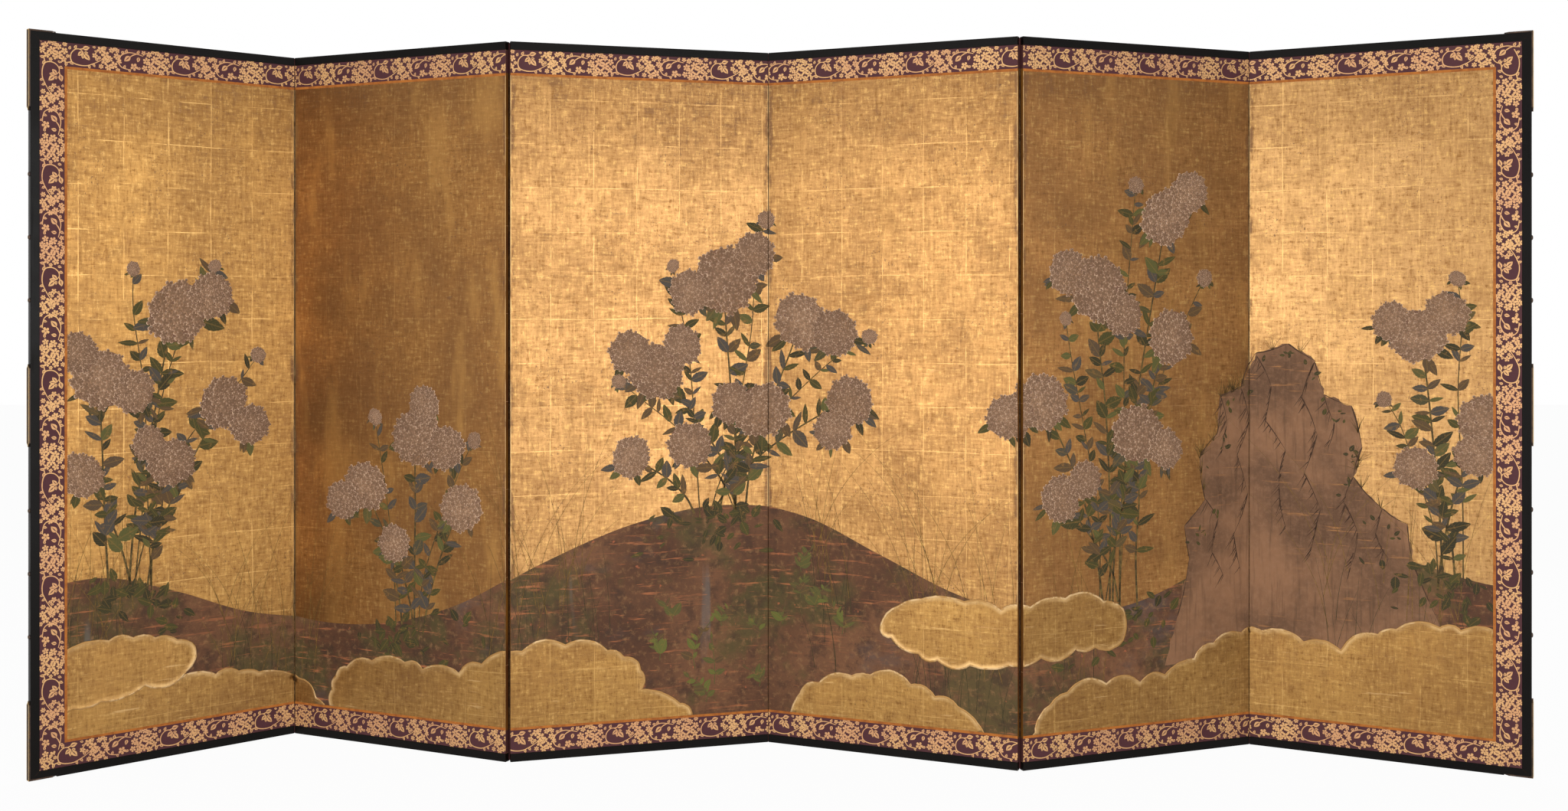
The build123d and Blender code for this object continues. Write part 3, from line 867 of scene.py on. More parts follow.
def makeMist():
    chance = random.Random(mist["seed"])
    design = newDesign()
    for index, guide in enumerate(mist["banks"]):
        lift = mist["lift"] + mist["step"] * (index % 2)
        verts = [design.verts.new((point.x, point.y, lift)) for point in mistOutline(guide, chance)]
        sheet = design.faces.new(verts)
        sheet.normal_update()
        if sheet.normal.z < 0:
            sheet.normal_flip()
        edge = design.verts.layers.float["edge"]
        # up to the rim's crest, down again, and across the fade
        half, peak = mist["rim"] / 2, mist["rimHeight"]
        for band, rising in ((half, peak), (half, -peak), (mist["fade"], 0.0)):
            for vert in sheet.verts:
                vert[edge] = 1.0
            ring = bmesh.ops.inset_region(design, faces=[sheet], thickness=band, use_boundary=True,
                                          use_even_offset=False)["faces"]
            for face in ring:
                face.material_index = 1 if rising else 0
                face.smooth = True
            for vert in sheet.verts:
                vert.co.z += rising
        for vert in sheet.verts:
            vert[edge] = 0.0
    bmesh.ops.triangulate(design, faces=design.faces[:], ngon_method="EAR_CLIP")
    hangOnPanels(design, "mist", cloudGold(), cloudRim())


# hills of brown earth

hills = dict(
    lift=0.06 * mm,
    step=8,
    line=((-60, 420), (150, 446), (330, 396), (520, 322), (720, 290), (930, 304), (1130, 362), (1340, 466),
          (1560, 552), (1780, 592), (2000, 566), (2200, 482), (2400, 398), (2620, 350), (2850, 372),
          (3080, 452), (3300, 500), (3520, 484), (3700, 440), (3880, 424)),
)


def hillTop():
    return inMetres(curveThrough(hills["line"], hills["step"]))


def hillHeight(x):
    line = hillTop()
    for a, b in zip(line, line[1:]):
        if a[0] <= x <= b[0]:
            return a[1] + (b[1] - a[1]) * (x - a[0]) / (b[0] - a[0])
    return line[-1][1]


def makeHills():
    design = newDesign()
    line = hillTop()
    steps = len(line) - 1
    for vert in bmesh.ops.create_grid(design, x_segments=steps, y_segments=1, size=1)["verts"]:
        x, y = line[round((vert.co.x + 1) / 2 * steps)]
        vert.co = (x, y if vert.co.y > 0 else 0.0, hills["lift"])
    hangOnPanels(design, "hills", earthPigment())


# a tall garden rock, drawn with broken contour lines

rock = dict(
    seed=29,
    lift=0.12 * mm,
    ragged=4.5 * mm,
    raggedSteps=6,
    outline=((2930, 214), (2966, 330), (3000, 470), (2986, 548), (3046, 610), (3030, 716), (3082, 770),
             (3090, 862), (3152, 884), (3190, 966), (3268, 990), (3330, 950), (3352, 868), (3416, 842),
             (3440, 744), (3420, 672), (3486, 600), (3542, 566), (3556, 470), (3604, 356), (3640, 236)),
    foldLines=(
        # the ridges that the strokes follow, from the top down
        ((3152, 880), (3176, 800), (3140, 716), (3172, 620), (3130, 520), (3150, 430)),
        ((3192, 960), (3228, 884), (3214, 800), (3262, 730), (3246, 640), (3262, 540)),
        ((3330, 946), (3300, 860), (3336, 770), (3306, 676), (3344, 590), (3320, 480)),
        ((3046, 612), (3084, 560), (3066, 480), (3100, 420)),
        ((3420, 672), (3398, 610), (3430, 540), (3412, 450)),
        ((3352, 866), (3376, 800), (3362, 740)),
        ((3486, 600), (3470, 540), (3500, 480)),
        ((3092, 860), (3110, 790), (3094, 720)),
    ),
    outlineWidth=4.4 * mm,
    ridgeWidth=3.6 * mm,
    # strokes that fall from each ridge
    hatch=dict(spacing=8.5, gaps=0.25, length=(12, 44), turn=-2.05, width=3.2 * mm),
    strokeLift=0.16 * mm,
    moss=54,
    fern=dict(tufts=26, blades=9, length=(16, 46), width=1.3 * mm),
)


def brushStroke(design, points, width):
    # pressed down at its start and drawn out thin
    line = curveThrough(inMetres(points), 4)
    ribbon(design, line, lambda t: width * (min(1, 6 * t + 0.3) - 0.85 * t ** 1.3), rock["strokeLift"])


def hatchRidge(design, ridge, chance):
    hatch = rock["hatch"]
    for here, there in zip(ridge, ridge[1:]):
        here, there = Vector(here), Vector(there)
        brushStroke(design, (here, here.lerp(there, 0.5) + Vector((chance.uniform(-5, 5), 0)), there),
                    rock["ridgeWidth"] * chance.uniform(0.6, 1.1))
        for count in range(int((there - here).length / hatch["spacing"])):
            if chance.random() < hatch["gaps"]:
                continue
            start = here.lerp(there, chance.random())
            turn = hatch["turn"] + chance.uniform(-0.3, 0.3)
            run = Vector((cos(turn), sin(turn))) * chance.uniform(*hatch["length"])
            brushStroke(design, (start, start + run * 0.5 + Vector((0, chance.uniform(-2, 1))), start + run),
                        hatch["width"] * chance.uniform(0.4, 1.0))


def makeRock():
    chance = random.Random(rock["seed"])
    design = newDesign()
    verts = []
    for here, there in zip(rock["outline"], rock["outline"][1:] + rock["outline"][:1]):
        start, chord = Vector(here) * mm, (Vector(there) - Vector(here)) * mm
        out = Vector((-chord.y, chord.x)).normalized()
        for step in range(rock["raggedSteps"]):
            push = chance.uniform(-1, 1) * rock["ragged"] if step else 0.0
            point = start + chord * step / rock["raggedSteps"] + out * push
            verts.append(design.verts.new((point.x, point.y, rock["lift"])))
    design.faces.new(verts).normal_update()
    bmesh.ops.triangulate(design, faces=design.faces[:], ngon_method="EAR_CLIP")
    hangOnPanels(design, "rock", rockPigment())
    strokes = newDesign()
    for here, there in zip(rock["outline"][1:-2], rock["outline"][2:-1]):
        middle = tuple((a + b) / 2 + chance.uniform(-5, 5) for a, b in zip(here, there))
        brushStroke(strokes, (here, middle, there), rock["outlineWidth"] * chance.uniform(0.5, 1.0))
    for ridge in rock["foldLines"]:
        hatchRidge(strokes, ridge, chance)
    hangOnPanels(strokes, "rock_strokes", linePaint("rockInk", "3C2A1E", "5A4230"))
    growFern(chance)


def growFern(chance):
    # dry tufts that fan out along the upper edge of the rock
    fern, design = rock["fern"], newDesign()
    edge = rock["outline"][4:-4]
    for tuft in range(fern["tufts"]):
        index = chance.randrange(len(edge) - 1)
        here, there = Vector(edge[index]), Vector(edge[index + 1])
        root = here.lerp(there, chance.random()) - Vector((0, 5))
        for blade in range(fern["blades"]):
            turn, length = chance.gauss(pi / 2, 0.5), chance.uniform(*fern["length"])
            bend = chance.uniform(-0.25, 0.25)
            line = [(root.x + length * t * cos(turn + bend * t), root.y + length * t * sin(turn + bend * t))
                    for t in (0, 0.33, 0.66, 1)]
            ribbon(design, inMetres(line), lambda t: fern["width"] * (1 - 0.7 * t), 0.15 * mm)
    hangOnPanels(design, "rock_ferns", linePaint("fernPaint", "4A3A20", "76592C"))


# round flower heads, each a dome of four-petalled florets

head = dict(
    seed=41,
    kinds=4,
    florets=78,
    floretSize=0.15,      # shares of the head's radius
    centreShrink=0.16,
    segments=24,
    eye=0.24,
    lift=0.32 * mm,
    step=0.26 * mm,       # from a head to the next that overlaps it
    petalRise=0.1 * mm,
    floretLift=0.05 * mm,
    domeRise=0.07 * mm,
)


def petalReach(turn):
    return 0.4 + 0.6 * abs(cos(2 * turn)) ** 0.6


def makeFloret():
    # a ring shaped into four petals, drawn in to a hollow eye
    floret = newDesign()
    edge, across = (floret.verts.layers.float[name] for name in ("edge", "across"))
    made = bmesh.ops.create_circle(floret, cap_ends=False, segments=head["segments"], radius=1.0)
    for vert in made["verts"]:
        reach = petalReach(atan2(vert.co.y, vert.co.x))
        vert.co.x *= reach
        vert.co.y *= reach
        vert[edge] = 1.0
    grown = bmesh.ops.extrude_edge_only(floret, edges=floret.edges[:])["geom"]
    for vert in (item for item in grown if isinstance(item, bmesh.types.BMVert)):
        vert.co = (vert.co.x * head["eye"], vert.co.y * head["eye"], head["petalRise"])
        vert[edge] = 0.0
        vert[across] = 1.0
    ring = [item for item in grown if isinstance(item, bmesh.types.BMEdge) and item.is_boundary]
    bmesh.ops.contextual_create(floret, geom=ring)
    for face in floret.faces:
        face.smooth = True
    return asFacingStamp(floret, "floretStamp")


def makeHead(seed, floret):
    chance = random.Random(seed)
    design = newDesign()
    base = disc(design, 44, 0.88)
    for vert in base:
        turn = atan2(vert.co.y, vert.co.x)
        wave = 1 + 0.02 * sin(11 * turn + seed) + 0.02 * sin(5 * turn + 2 * seed)
        vert.co = (vert.co.x * wave, vert.co.y * wave, 0.0)
    setTone(design, base, 0.0)
    goldenAngle = pi * (3 - sqrt(5))
    for index in range(head["florets"]):
        reach = sqrt((index + 0.5) / head["florets"]) * 0.9 + chance.uniform(-0.02, 0.02)
        turn = index * goldenAngle + chance.uniform(-0.08, 0.08)
        size = head["floretSize"] * (1 + head["centreShrink"] * (0.6 - reach)) * chance.uniform(0.85, 1.12)
        lift = head["floretLift"] + head["domeRise"] * (1 - reach ** 2) + chance.uniform(-0.02, 0.02) * mm
        matrix = placing(reach * cos(turn), reach * sin(turn), lift, chance.uniform(0, pi), size)
        # each floret's tone falls off towards the head's rim, a painted shade that makes the head read as a
        # dome, with a random share on top
        press(design, floret, matrix, (0.35 + 0.5 * (1 - reach ** 2)) * chance.uniform(0.6, 1.3))
    return asStamp(design, f"headStamp{seed}")


# leaves

foliage = dict(
    seed=7,
    width=0.56,       # of a leaf's length
    segments=32,
    tooth=0.09,
    ribRise=0.05 * mm,
    lift=0.18 * mm,
    spacing=31 * mm,  # between pairs along a stem
    bare=0.16,        # share of a stem without leaves, at its foot
    length=(30 * mm, 56 * mm),
    stemWidth=5.5 * mm,
    collar=4,         # leaves that look out from under a head
    squeeze=(0.55, 0.8, 0.95, 1.1),  # some are seen from the side
    small=0.2,        # no face of a plant is as large as this
)


def makeLeaf():
    # an ovate leaf from 0 to 1 along x, with a toothed edge
    leaf = newDesign()
    layers = leaf.verts.layers.float
    for index, vert in enumerate(disc(leaf, foliage["segments"])):
        along = (vert.co.x + 1) / 2
        middle = hypot(vert.co.x, vert.co.y) < 0.5
        half = sin(pi * min(1.0, along) ** 0.8) ** 0.85 * foliage["width"] / 2 if not middle else 0.0
        tooth = 1 - foliage["tooth"] * (index % 2)
        side = 1 if vert.co.y > 0 else -1
        vert.co = (along, side * half * tooth, foliage["ribRise"] if middle else 0.0)
        vert[layers["across"]] = vert.co.y / (foliage["width"] / 2)
        vert[layers["along"]] = along
    return asFacingStamp(leaf, "leafStamp")


def stemLine(root, tip, chance, wander=0.035, steps=5):
    # a stem that leaves the ground upright, wanders a little and bends over to its head
    lean = tip - root
    points = [root]
    for share in (0.3, 0.62, 0.86):
        across = share ** 1.7 + chance.uniform(-wander, wander)
        points.append(Vector((root.x + lean.x * across + chance.uniform(-wander, wander) * lean.y * 0.4,
                              root.y + lean.y * share)))
    points.append(tip)
    return curveThrough(points, steps)


plants = (
    # root, then sprays as (x, y of the tip, heads about it as (x, y, radius)), all in millimetres
    dict(root=(226, 436), spread=60, sprays=(
        (158, 912, ((0, 0, 76), (-58, 62, 52), (76, -34, 56))),
        (338, 1066, ((0, 0, 84), (82, 40, 60))),
        (452, 846, ((0, 0, 70), (66, -58, 56))),
        (112, 688, ((0, 0, 60),)),
        (322, 706, ((0, 0, 64), (-54, 48, 46))),
    ), buds=((232, 1170), (430, 1180), (540, 960))),
    dict(root=(992, 308), spread=50, sprays=(
        (856, 636, ((0, 0, 70), (-70, -36, 54))),
        (1014, 762, ((0, 0, 80), (84, -24, 60), (20, 80, 50))),
        (1144, 596, ((0, 0, 64),)),
        (944, 500, ((0, 0, 50),)),
    ), buds=((886, 808), (1180, 760))),
    dict(root=(1796, 588), spread=80, sprays=(
        (1622, 924, ((0, 0, 76), (-64, 46, 56), (66, 64, 54))),
        (1796, 1146, ((0, 0, 90), (-92, -30, 60), (76, 66, 58))),
        (1992, 1044, ((0, 0, 80), (90, -28, 62))),
        (2120, 850, ((0, 0, 66), (-44, -70, 54))),
        (1706, 742, ((0, 0, 60),)),
        (1892, 824, ((0, 0, 80), (-82, 20, 56))),
        (1560, 716, ((0, 0, 56),)),
    ), buds=((1664, 1180), (1900, 1296), (2172, 1008), (1530, 900))),
    dict(root=(2796, 378), spread=70, sprays=(
        (2592, 856, ((0, 0, 72), (-76, -32, 58))),
        (2742, 1124, ((0, 0, 84), (-84, 38, 58), (70, -62, 56))),
        (2934, 1296, ((0, 0, 78), (66, 62, 56))),
        (2948, 1006, ((0, 0, 72),)),
        (2640, 628, ((0, 0, 60), (66, 42, 48))),
        (2852, 776, ((0, 0, 76), (80, -38, 54))),
    ), buds=((2654, 1052), (2848, 1372), (3044, 1150))),
    dict(root=(3646, 452), spread=40, sprays=(
        (3566, 1012, ((0, 0, 72), (64, 52, 56), (-62, 34, 50))),
        (3716, 812, ((0, 0, 70), (-24, -78, 54))),
        (3560, 700, ((0, 0, 54),)),
    ), buds=((3652, 1146), (3490, 860))),
)


def makePlants():
    chance = random.Random(foliage["seed"])
    floret = makeFloret()
    headStamps = [makeHead(head["seed"] + kind, floret) for kind in range(head["kinds"])]
    leafStamp = makeLeaf()
    stems, leaves, heads = newDesign(), newDesign(), newDesign()
    for plant in plants:
        root = Vector(plant["root"]) * mm
        tips = [(Vector((x, y)) * mm, about, 1.0) for x, y, about in plant["sprays"]]
        tips += [(Vector(place) * mm, ((0, 0, chance.uniform(17, 24)),), 0.6) for place in plant["buds"]]
        for tip, about, thick in tips:
            foot = root + Vector((chance.uniform(-1, 1) * plant["spread"] * mm, chance.uniform(-40, 0) * mm))
            line = stemLine(foot, tip, chance)
            width = foliage["stemWidth"] * thick
            ribbon(stems, line, lambda t: width * (1 - 0.45 * t), 0.17 * mm, chance.random())
            until = 1 - about[0][2] * mm / max((tip - foot).length, 0.1)
            leavesAlong(leaves, leafStamp, line, chance, until, thick)
            for index, (x, y, radius) in enumerate(about):
                at = tip + Vector((x, y)) * mm
                collar(leaves, leafStamp, at, radius * mm, chance)
                place = placing(at.x, at.y, head["lift"] + head["step"] * index, chance.uniform(0, 2 * pi),
                                radius * mm, chance.uniform(0.86, 1.0))
                press(heads, chance.choice(headStamps), place, fade=chance.uniform(0.6, 1.1))
        undergrowth(leaves, leafStamp, root, chance)
    sprigs(leaves, leafStamp, chance)
    mossTufts(leaves, leafStamp, chance)
    hangOnPanels(stems, "stems", linePaint("stemPaint", "3E3320", "6E5A30"), small=foliage["small"])
    hangOnPanels(leaves, "leaves", leafPaint(), small=foliage["small"])
    hangOnPanels(heads, "flower_heads", headPaint(), small=foliage["small"])


def layLeaf(leaves, leafStamp, at, turn, length, chance, tones=(0.0, 0.86)):
    lift = foliage["lift"] + chance.uniform(0, 0.1) * mm
    squeeze = chance.choice(foliage["squeeze"])
    press(leaves, leafStamp, placing(at[0], at[1], lift, turn, length, squeeze), chance.uniform(*tones))


def leavesAlong(leaves, leafStamp, line, chance, until, share):
    # pairs of leaves along a stem, as far as its head
    total = sum((Vector(b) - Vector(a)).length for a, b in zip(line, line[1:]))
    travelled, nextAt = 0.0, total * foliage["bare"] * chance.uniform(0.8, 2.0)
    for a, b in zip(line, line[1:]):
        step = Vector(b) - Vector(a)
        while travelled + step.length > nextAt and nextAt < total * until:
            at = Vector(a) + step * ((nextAt - travelled) / step.length)
            for side in (-1, 1):
                if chance.random() < 0.82:
                    turn = atan2(step.y, step.x) + side * chance.uniform(0.45, 1.5)
                    length = chance.uniform(*foliage["length"]) * (0.6 + 0.4 * share)
                    layLeaf(leaves, leafStamp, at, turn, length, chance)
            nextAt += foliage["spacing"] * chance.uniform(0.6, 1.35)
        travelled += step.length


def collar(leaves, leafStamp, at, radius, chance):
    for index in range(foliage["collar"]):
        turn = chance.uniform(-2.9, -0.25)
        start = at + Vector((cos(turn), sin(turn))) * radius * 0.72
        length = radius * chance.uniform(0.45, 0.75)
        layLeaf(leaves, leafStamp, start, turn + chance.uniform(-0.5, 0.5), length, chance)


growth = dict(
    cover=46,                       # leaves at the foot of each plant
    coverLeaf=(18 * mm, 40 * mm),
    dark=(0.0, 0.34),               # tones of the shaded leaves and of the fresh ones
    fresh=(0.62, 1.0),
    sprigs=64,
    height=(40 * mm, 110 * mm),
    leaf=(14 * mm, 34 * mm),
    rock=(2.9, 3.68),               # the stretch that the rock stands on
)


def undergrowth(leaves, leafStamp, root, chance):
    # dark leaves that spill down the hill from the foot of a plant
    for count in range(growth["cover"]):
        x, down = root.x + chance.gauss(0, 0.085), abs(chance.gauss(0, 0.06))
        at = (x, min(hillHeight(x), root.y + 0.05) - down)
        if isOpenGround(*at):
            turn, length = chance.uniform(-pi, pi), chance.uniform(*growth["coverLeaf"])
            layLeaf(leaves, leafStamp, at, turn, length, chance, growth["dark"])


def isOpenGround(x, y):
    # whether a point lies clear of every bank of mist
    for guide in mist["banks"]:
        inside = False
        for (ax, ay), (bx, by) in zip(guide, guide[1:] + guide[:1]):
            if (ay * mm > y) != (by * mm > y) and x < (ax + (bx - ax) * (y / mm - ay) / (by - ay)) * mm:
                inside = not inside
        if inside:
            return False
    return True


def sprigs(leaves, leafStamp, chance):
    # low fresh growth on the hills, each a bent row of small leaves
    for count in range(growth["sprigs"]):
        x = chance.uniform(0.1, 3.75)
        y = chance.uniform(0.1, max(hillHeight(x) - 0.1, 0.12))
        isOpen = all(isOpenGround(x + dx, y + dy) for dx in (-0.05, 0.0, 0.05) for dy in (-0.06, 0.0, 0.1))
        if not isOpen or growth["rock"][0] < x < growth["rock"][1]:
            continue
        lean = chance.uniform(-0.9, 0.9)
        across = leaves.verts.layers.float["across"]
        height = chance.uniform(*growth["height"])
        pairs = chance.randint(3, 5)
        bent = [(x + lean * height * t * t, y + height * t * 0.8) for t in (-0.3, 0, 0.25, 0.5, 0.75, 1)]
        for vert in ribbon(leaves, bent, lambda t: 1.8 * mm, foliage["lift"], 0.8):
            vert[across] = 0.5
        for pair in range(pairs + 1):
            t = pair / pairs
            at = (x + lean * height * t * t, y + height * t * 0.8)
            for side in (-1, 1) if pair < pairs else (0,):
                turn = pi / 2 - lean * t + side * chance.uniform(0.3, 1.5)
                length = chance.uniform(*growth["leaf"]) * (1.15 - 0.5 * t)
                layLeaf(leaves, leafStamp, at, turn, length, chance, growth["fresh"])


def mossTufts(leaves, leafStamp, chance):
    # small dark tufts on the ledges of the rock
    middleX = sum(x for x, y in rock["outline"]) / len(rock["outline"])
    for count in range(rock["moss"]):
        x, y = chance.choice(rock["outline"][3:-3])
        inward = chance.uniform(0.05, 0.22)
        x += (middleX - x) * inward + chance.uniform(-10, 10)
        at = (x * mm, (y - chance.uniform(10, 50)) * mm)
        turn, length = chance.uniform(0, pi), chance.uniform(9, 19) * mm
        layLeaf(leaves, leafStamp, at, turn, length, chance, growth["dark"])


# grasses

grass = dict(
    seed=19,
    width=1.4 * mm,
    length=(0.16, 0.5),
    shaded=1.1,       # dark blades to each bright one
    shadedLength=(0.12, 0.3),
    lean=0.75,
    tufts=((60, 12), (180, 14), (520, 16), (640, 9), (1290, 12), (1450, 9), (2080, 10), (2330, 16), (2470, 9),
           (2700, 9), (3420, 8), (3610, 10)),  # place along the hills and number of blades
)


def makeGrass():
    chance = random.Random(grass["seed"])
    bright, dark = newDesign(), newDesign()
    for x, count in grass["tufts"]:
        for blade in range(count):
            growBlade(bright, x, chance, grass["length"], (0.02, 0.2), grass["lean"])
        for blade in range(round(count * grass["shaded"])):
            growBlade(dark, x, chance, grass["shadedLength"], (0.16, 0.4), grass["lean"] * 0.5)
    hangOnPanels(bright, "grasses", linePaint("grassPaint", "5A4422", "84652F"))
    hangOnPanels(dark, "shaded_grasses", linePaint("shadedGrassPaint", "2C2A18", "48402A"))


def growBlade(design, x, chance, lengths, depths, most):
    # rooted somewhat below the top of the hill, and leaning more towards its tip
    at = x * mm + chance.uniform(-0.07, 0.07)
    root = Vector((at, hillHeight(at) - chance.uniform(*depths)))
    length = chance.uniform(*lengths)
    lean = chance.uniform(-1, 1) * most
    points = [root]
    for step in (1, 2, 3, 4):
        bend = lean * (0.1 + 0.34 * step)
        points.append(points[-1] + Vector((sin(bend), cos(bend))) * length / 4)
    ribbon(design, curveThrough(points, 4), lambda t: grass["width"] * (1 - 0.75 * t), 0.15 * mm)


makeMist()
makeHills()
makeRock()
makeGrass()
makePlants()
print("painting laid")


# brocade: gold scrolls woven on plum, in one repeat laid end to end

brocade = dict(
    seed=5,
    repeat=236 * mm,
    lift=0.05 * mm,
    layers=0.07 * mm,       # how far the pieces of the scroll differ in height
    vine=2.4 * mm,
    cluster=(0.7, 1.02),    # sizes of the blossoms
    jitter=1.5,             # of their places, in millimetres
)


def makeBlossomStamp(petals):
    # round petals about a small eye; across is 0 where a plum line shows through
    blossom = newDesign()
    across = blossom.verts.layers.float["across"]
    for vert in disc(blossom, petals * 8):
        if vert.co.length > 0.5:
            reach = 0.3 + 0.7 * abs(cos(petals / 2 * atan2(vert.co.y, vert.co.x))) ** 0.42
            vert.co = (vert.co.x * reach, vert.co.y * reach, 0.0)
            vert[across] = 1.0
    return asFacingStamp(blossom, f"blossomStamp{petals}")


def makeSprayLeaf():
    # a pointed leaf with its middle vein
    leaf = newDesign()
    across = leaf.verts.layers.float["across"]
    for vert in disc(leaf, 16):
        along = (vert.co.x + 1) / 2
        middle = vert.co.length < 0.5
        vert[across] = 0.0 if middle else max(abs(vert.co.y), 0.25)
        half = 0.0 if middle else 0.34 * sin(pi * along ** 0.75) ** 0.9
        vert.co = (along, half if vert.co.y > 0 else -half, 0.0)
    return asFacingStamp(leaf, "sprayLeafStamp")


scroll = dict(
    # all in millimetres along and across the repeat
    blossoms=(
        # (x, y, radius): a dense cluster, a lone flower in each loop, and the next cluster
        (66, 45, 8.6), (69, 9, 8), (64, 27, 6), (76, 21, 9.6), (79, 37, 10), (76, 52, 7.4), (86, 5, 8.8),
        (89, 28, 10.4), (92, 47, 9.4), (98, 13, 9.8), (103, 35, 9.8), (102, 53, 6.6), (106, 2, 6.4),
        (109, 22, 6.6),
        (106, 48, 7), (54, 32, 8.2), (144, 14, 10.5),
        (173, 31, 9.8), (170, 14, 7.4), (168, 47, 6.4), (181, 46, 9.4), (182, 4, 8.2), (185, 20, 10),
        (194, 35, 10.2),
        (197, 11, 9.8), (198, 51, 7.8), (207, 26, 10), (209, 43, 9), (210, 5, 8.4), (219, 15, 9),
        (220, 34, 9.2),
        (228, 25, 6.4), (222, 51, 7), (190, 53, 6),
    ),
    vines=(
        # points that each vine runs through
        ((72, 25), (60, 17), (46, 10), (35, 6), (21, 5.6), (8, 8.5), (1, 14), (-1, 24), (2, 34),
         (10, 41.7), (19, 43),
         (26, 38), (29, 32)),
        ((-14, 9), (-6, 10), (3, 13)),
        ((166, 41), (149, 45), (135, 46.5), (124, 43.7), (114.5, 38), (110, 28), (110, 17), (116, 10),
         (126, 7),
         (138, 6)),
        ((150, 44), (142, 41), (134, 35)),
        ((19, 43), (25, 44), (29, 46)),
    ),
    leaves=(
        # (x, y, length, angle)
        (26, 37, 14, 222), (28, 33, 12, 262), (30, 36, 9, 0), (31, 32, 17, 312), (27, 45, 16, 14),
        (8, 43, 10, 62),
        (50, 12, 9, -60), (60, 19, 10, 110), (135, 37, 18, 222), (156, 37, 12, 255), (121, 8, 9, 70),
        (126, 44, 10, 80),
        (152, 45, 10, 60), (-10, 10, 10, -100), (132, 7, 8, -60), (60, 40, 8, 160), (114, 44, 9, 20),
        (232, 40, 9, 70), (234, 12, 10, -40), (160, 12, 9, 200), (56, 50, 8, 170), (40, 8, 9, -70),
    ),
)


def makeRepeat():
    chance = random.Random(brocade["seed"])
    blossoms, leaf = [makeBlossomStamp(petals) for petals in (5, 6)], makeSprayLeaf()
    design = newDesign()
    across = design.verts.layers.float["across"]

    def level():
        return brocade["lift"] + chance.random() * brocade["layers"]

    for x, y, radius in scroll["blossoms"]:
        x, y = (value + chance.uniform(-1, 1) * brocade["jitter"] for value in (x, y))
        radius *= chance.uniform(*brocade["cluster"])
        blossom = chance.choice(blossoms)
        press(design, blossom, placing(x * mm, y * mm, level(), chance.uniform(0, 6), radius * mm))
    for vine in scroll["vines"]:
        line = curveThrough(inMetres(vine), 4)
        for vert in ribbon(design, line, lambda t: brocade["vine"] * (1.1 - 0.4 * abs(2 * t - 1)), level()):
            vert[across] = 1.0
    for x, y, length, angle in scroll["leaves"]:
        press(design, leaf, placing(x * mm, y * mm, level(), radians(angle), length * mm))
    return asStamp(design, "scrollRepeat")


def layRun(stamp, length, phase):
    # repeats from 0 to length along x, between 0 and the brocade's width along y
    design = newDesign()
    start = -phase * brocade["repeat"]
    while start < length:
        press(design, stamp, Matrix.Translation((start, 0, 0)))
        start += brocade["repeat"]
    trim(design, 0, length, 0, screen["brocadeWidth"])
    return design


def layStrip(stamp, number, phase, strip):
    # one strip of the border, mitred where it meets the next
    wide, edge, top, bottom = (screen[name] for name in ("panelWidth", "frameWidth", "top", "bottom"))
    start, turn = dict(
        top=((0, top - screen["brocadeWidth"]), 0),
        bottom=((0, bottom), 0),
        left=((edge, top), -pi / 2),
        right=((wide - edge, bottom), pi / 2),
    )[strip]
    upright = strip in ("left", "right")
    design = layRun(stamp, top - bottom if upright else wide, phase)
    bmesh.ops.transform(design, matrix=placing(*start, turn=turn), verts=design.verts)
    if number in (1, screen["panels"]):
        cornerX, inward = (edge, 1) if number == 1 else (wide - edge, -1)
        if not upright:
            cutAway(design, (cornerX, 0, 0), (-inward, 0, 0))
        for level, down in ((top, -1), (bottom, 1)):
            flip = 1 if upright else -1
            if upright or strip == ("top" if down == -1 else "bottom"):
                cutAway(design, (cornerX, level, 0), (inward * flip, -down * flip, 0))
    return design


def makeBrocade():
    stamp = makeRepeat()
    thread = brocadeThread()
    chance = random.Random(brocade["seed"])
    for number in panels:
        strips = ["top", "bottom"] + {1: ["left"], screen["panels"]: ["right"]}.get(number, [])
        joined = newDesign()
        for strip in strips:
            part = asStamp(layStrip(stamp, number, chance.random(), strip), "stripPart")
            press(joined, part, Matrix.Identity(4))
            bpy.data.meshes.remove(part)
        markLayout(joined)
        joined.normal_update()
        move = boards[number] @ Matrix.Translation((0, 0, -screen["brocadeFace"]))
        bmesh.ops.transform(joined, matrix=move, verts=joined.verts)
        makePiece(joined, f"woven_scroll_{number}", (thread,), f"panel_{number}")
        print("woven scroll", number, len(joined.faces), "faces")
        joined.free()
    print("brocade woven")


makeBrocade()


# paper creases that close each fold, bending with it

crease = dict(reach=3 * mm, steps=8, thick=0.1 * mm, off=0.08 * mm, inset=0.4 * mm, ends=2 * mm)


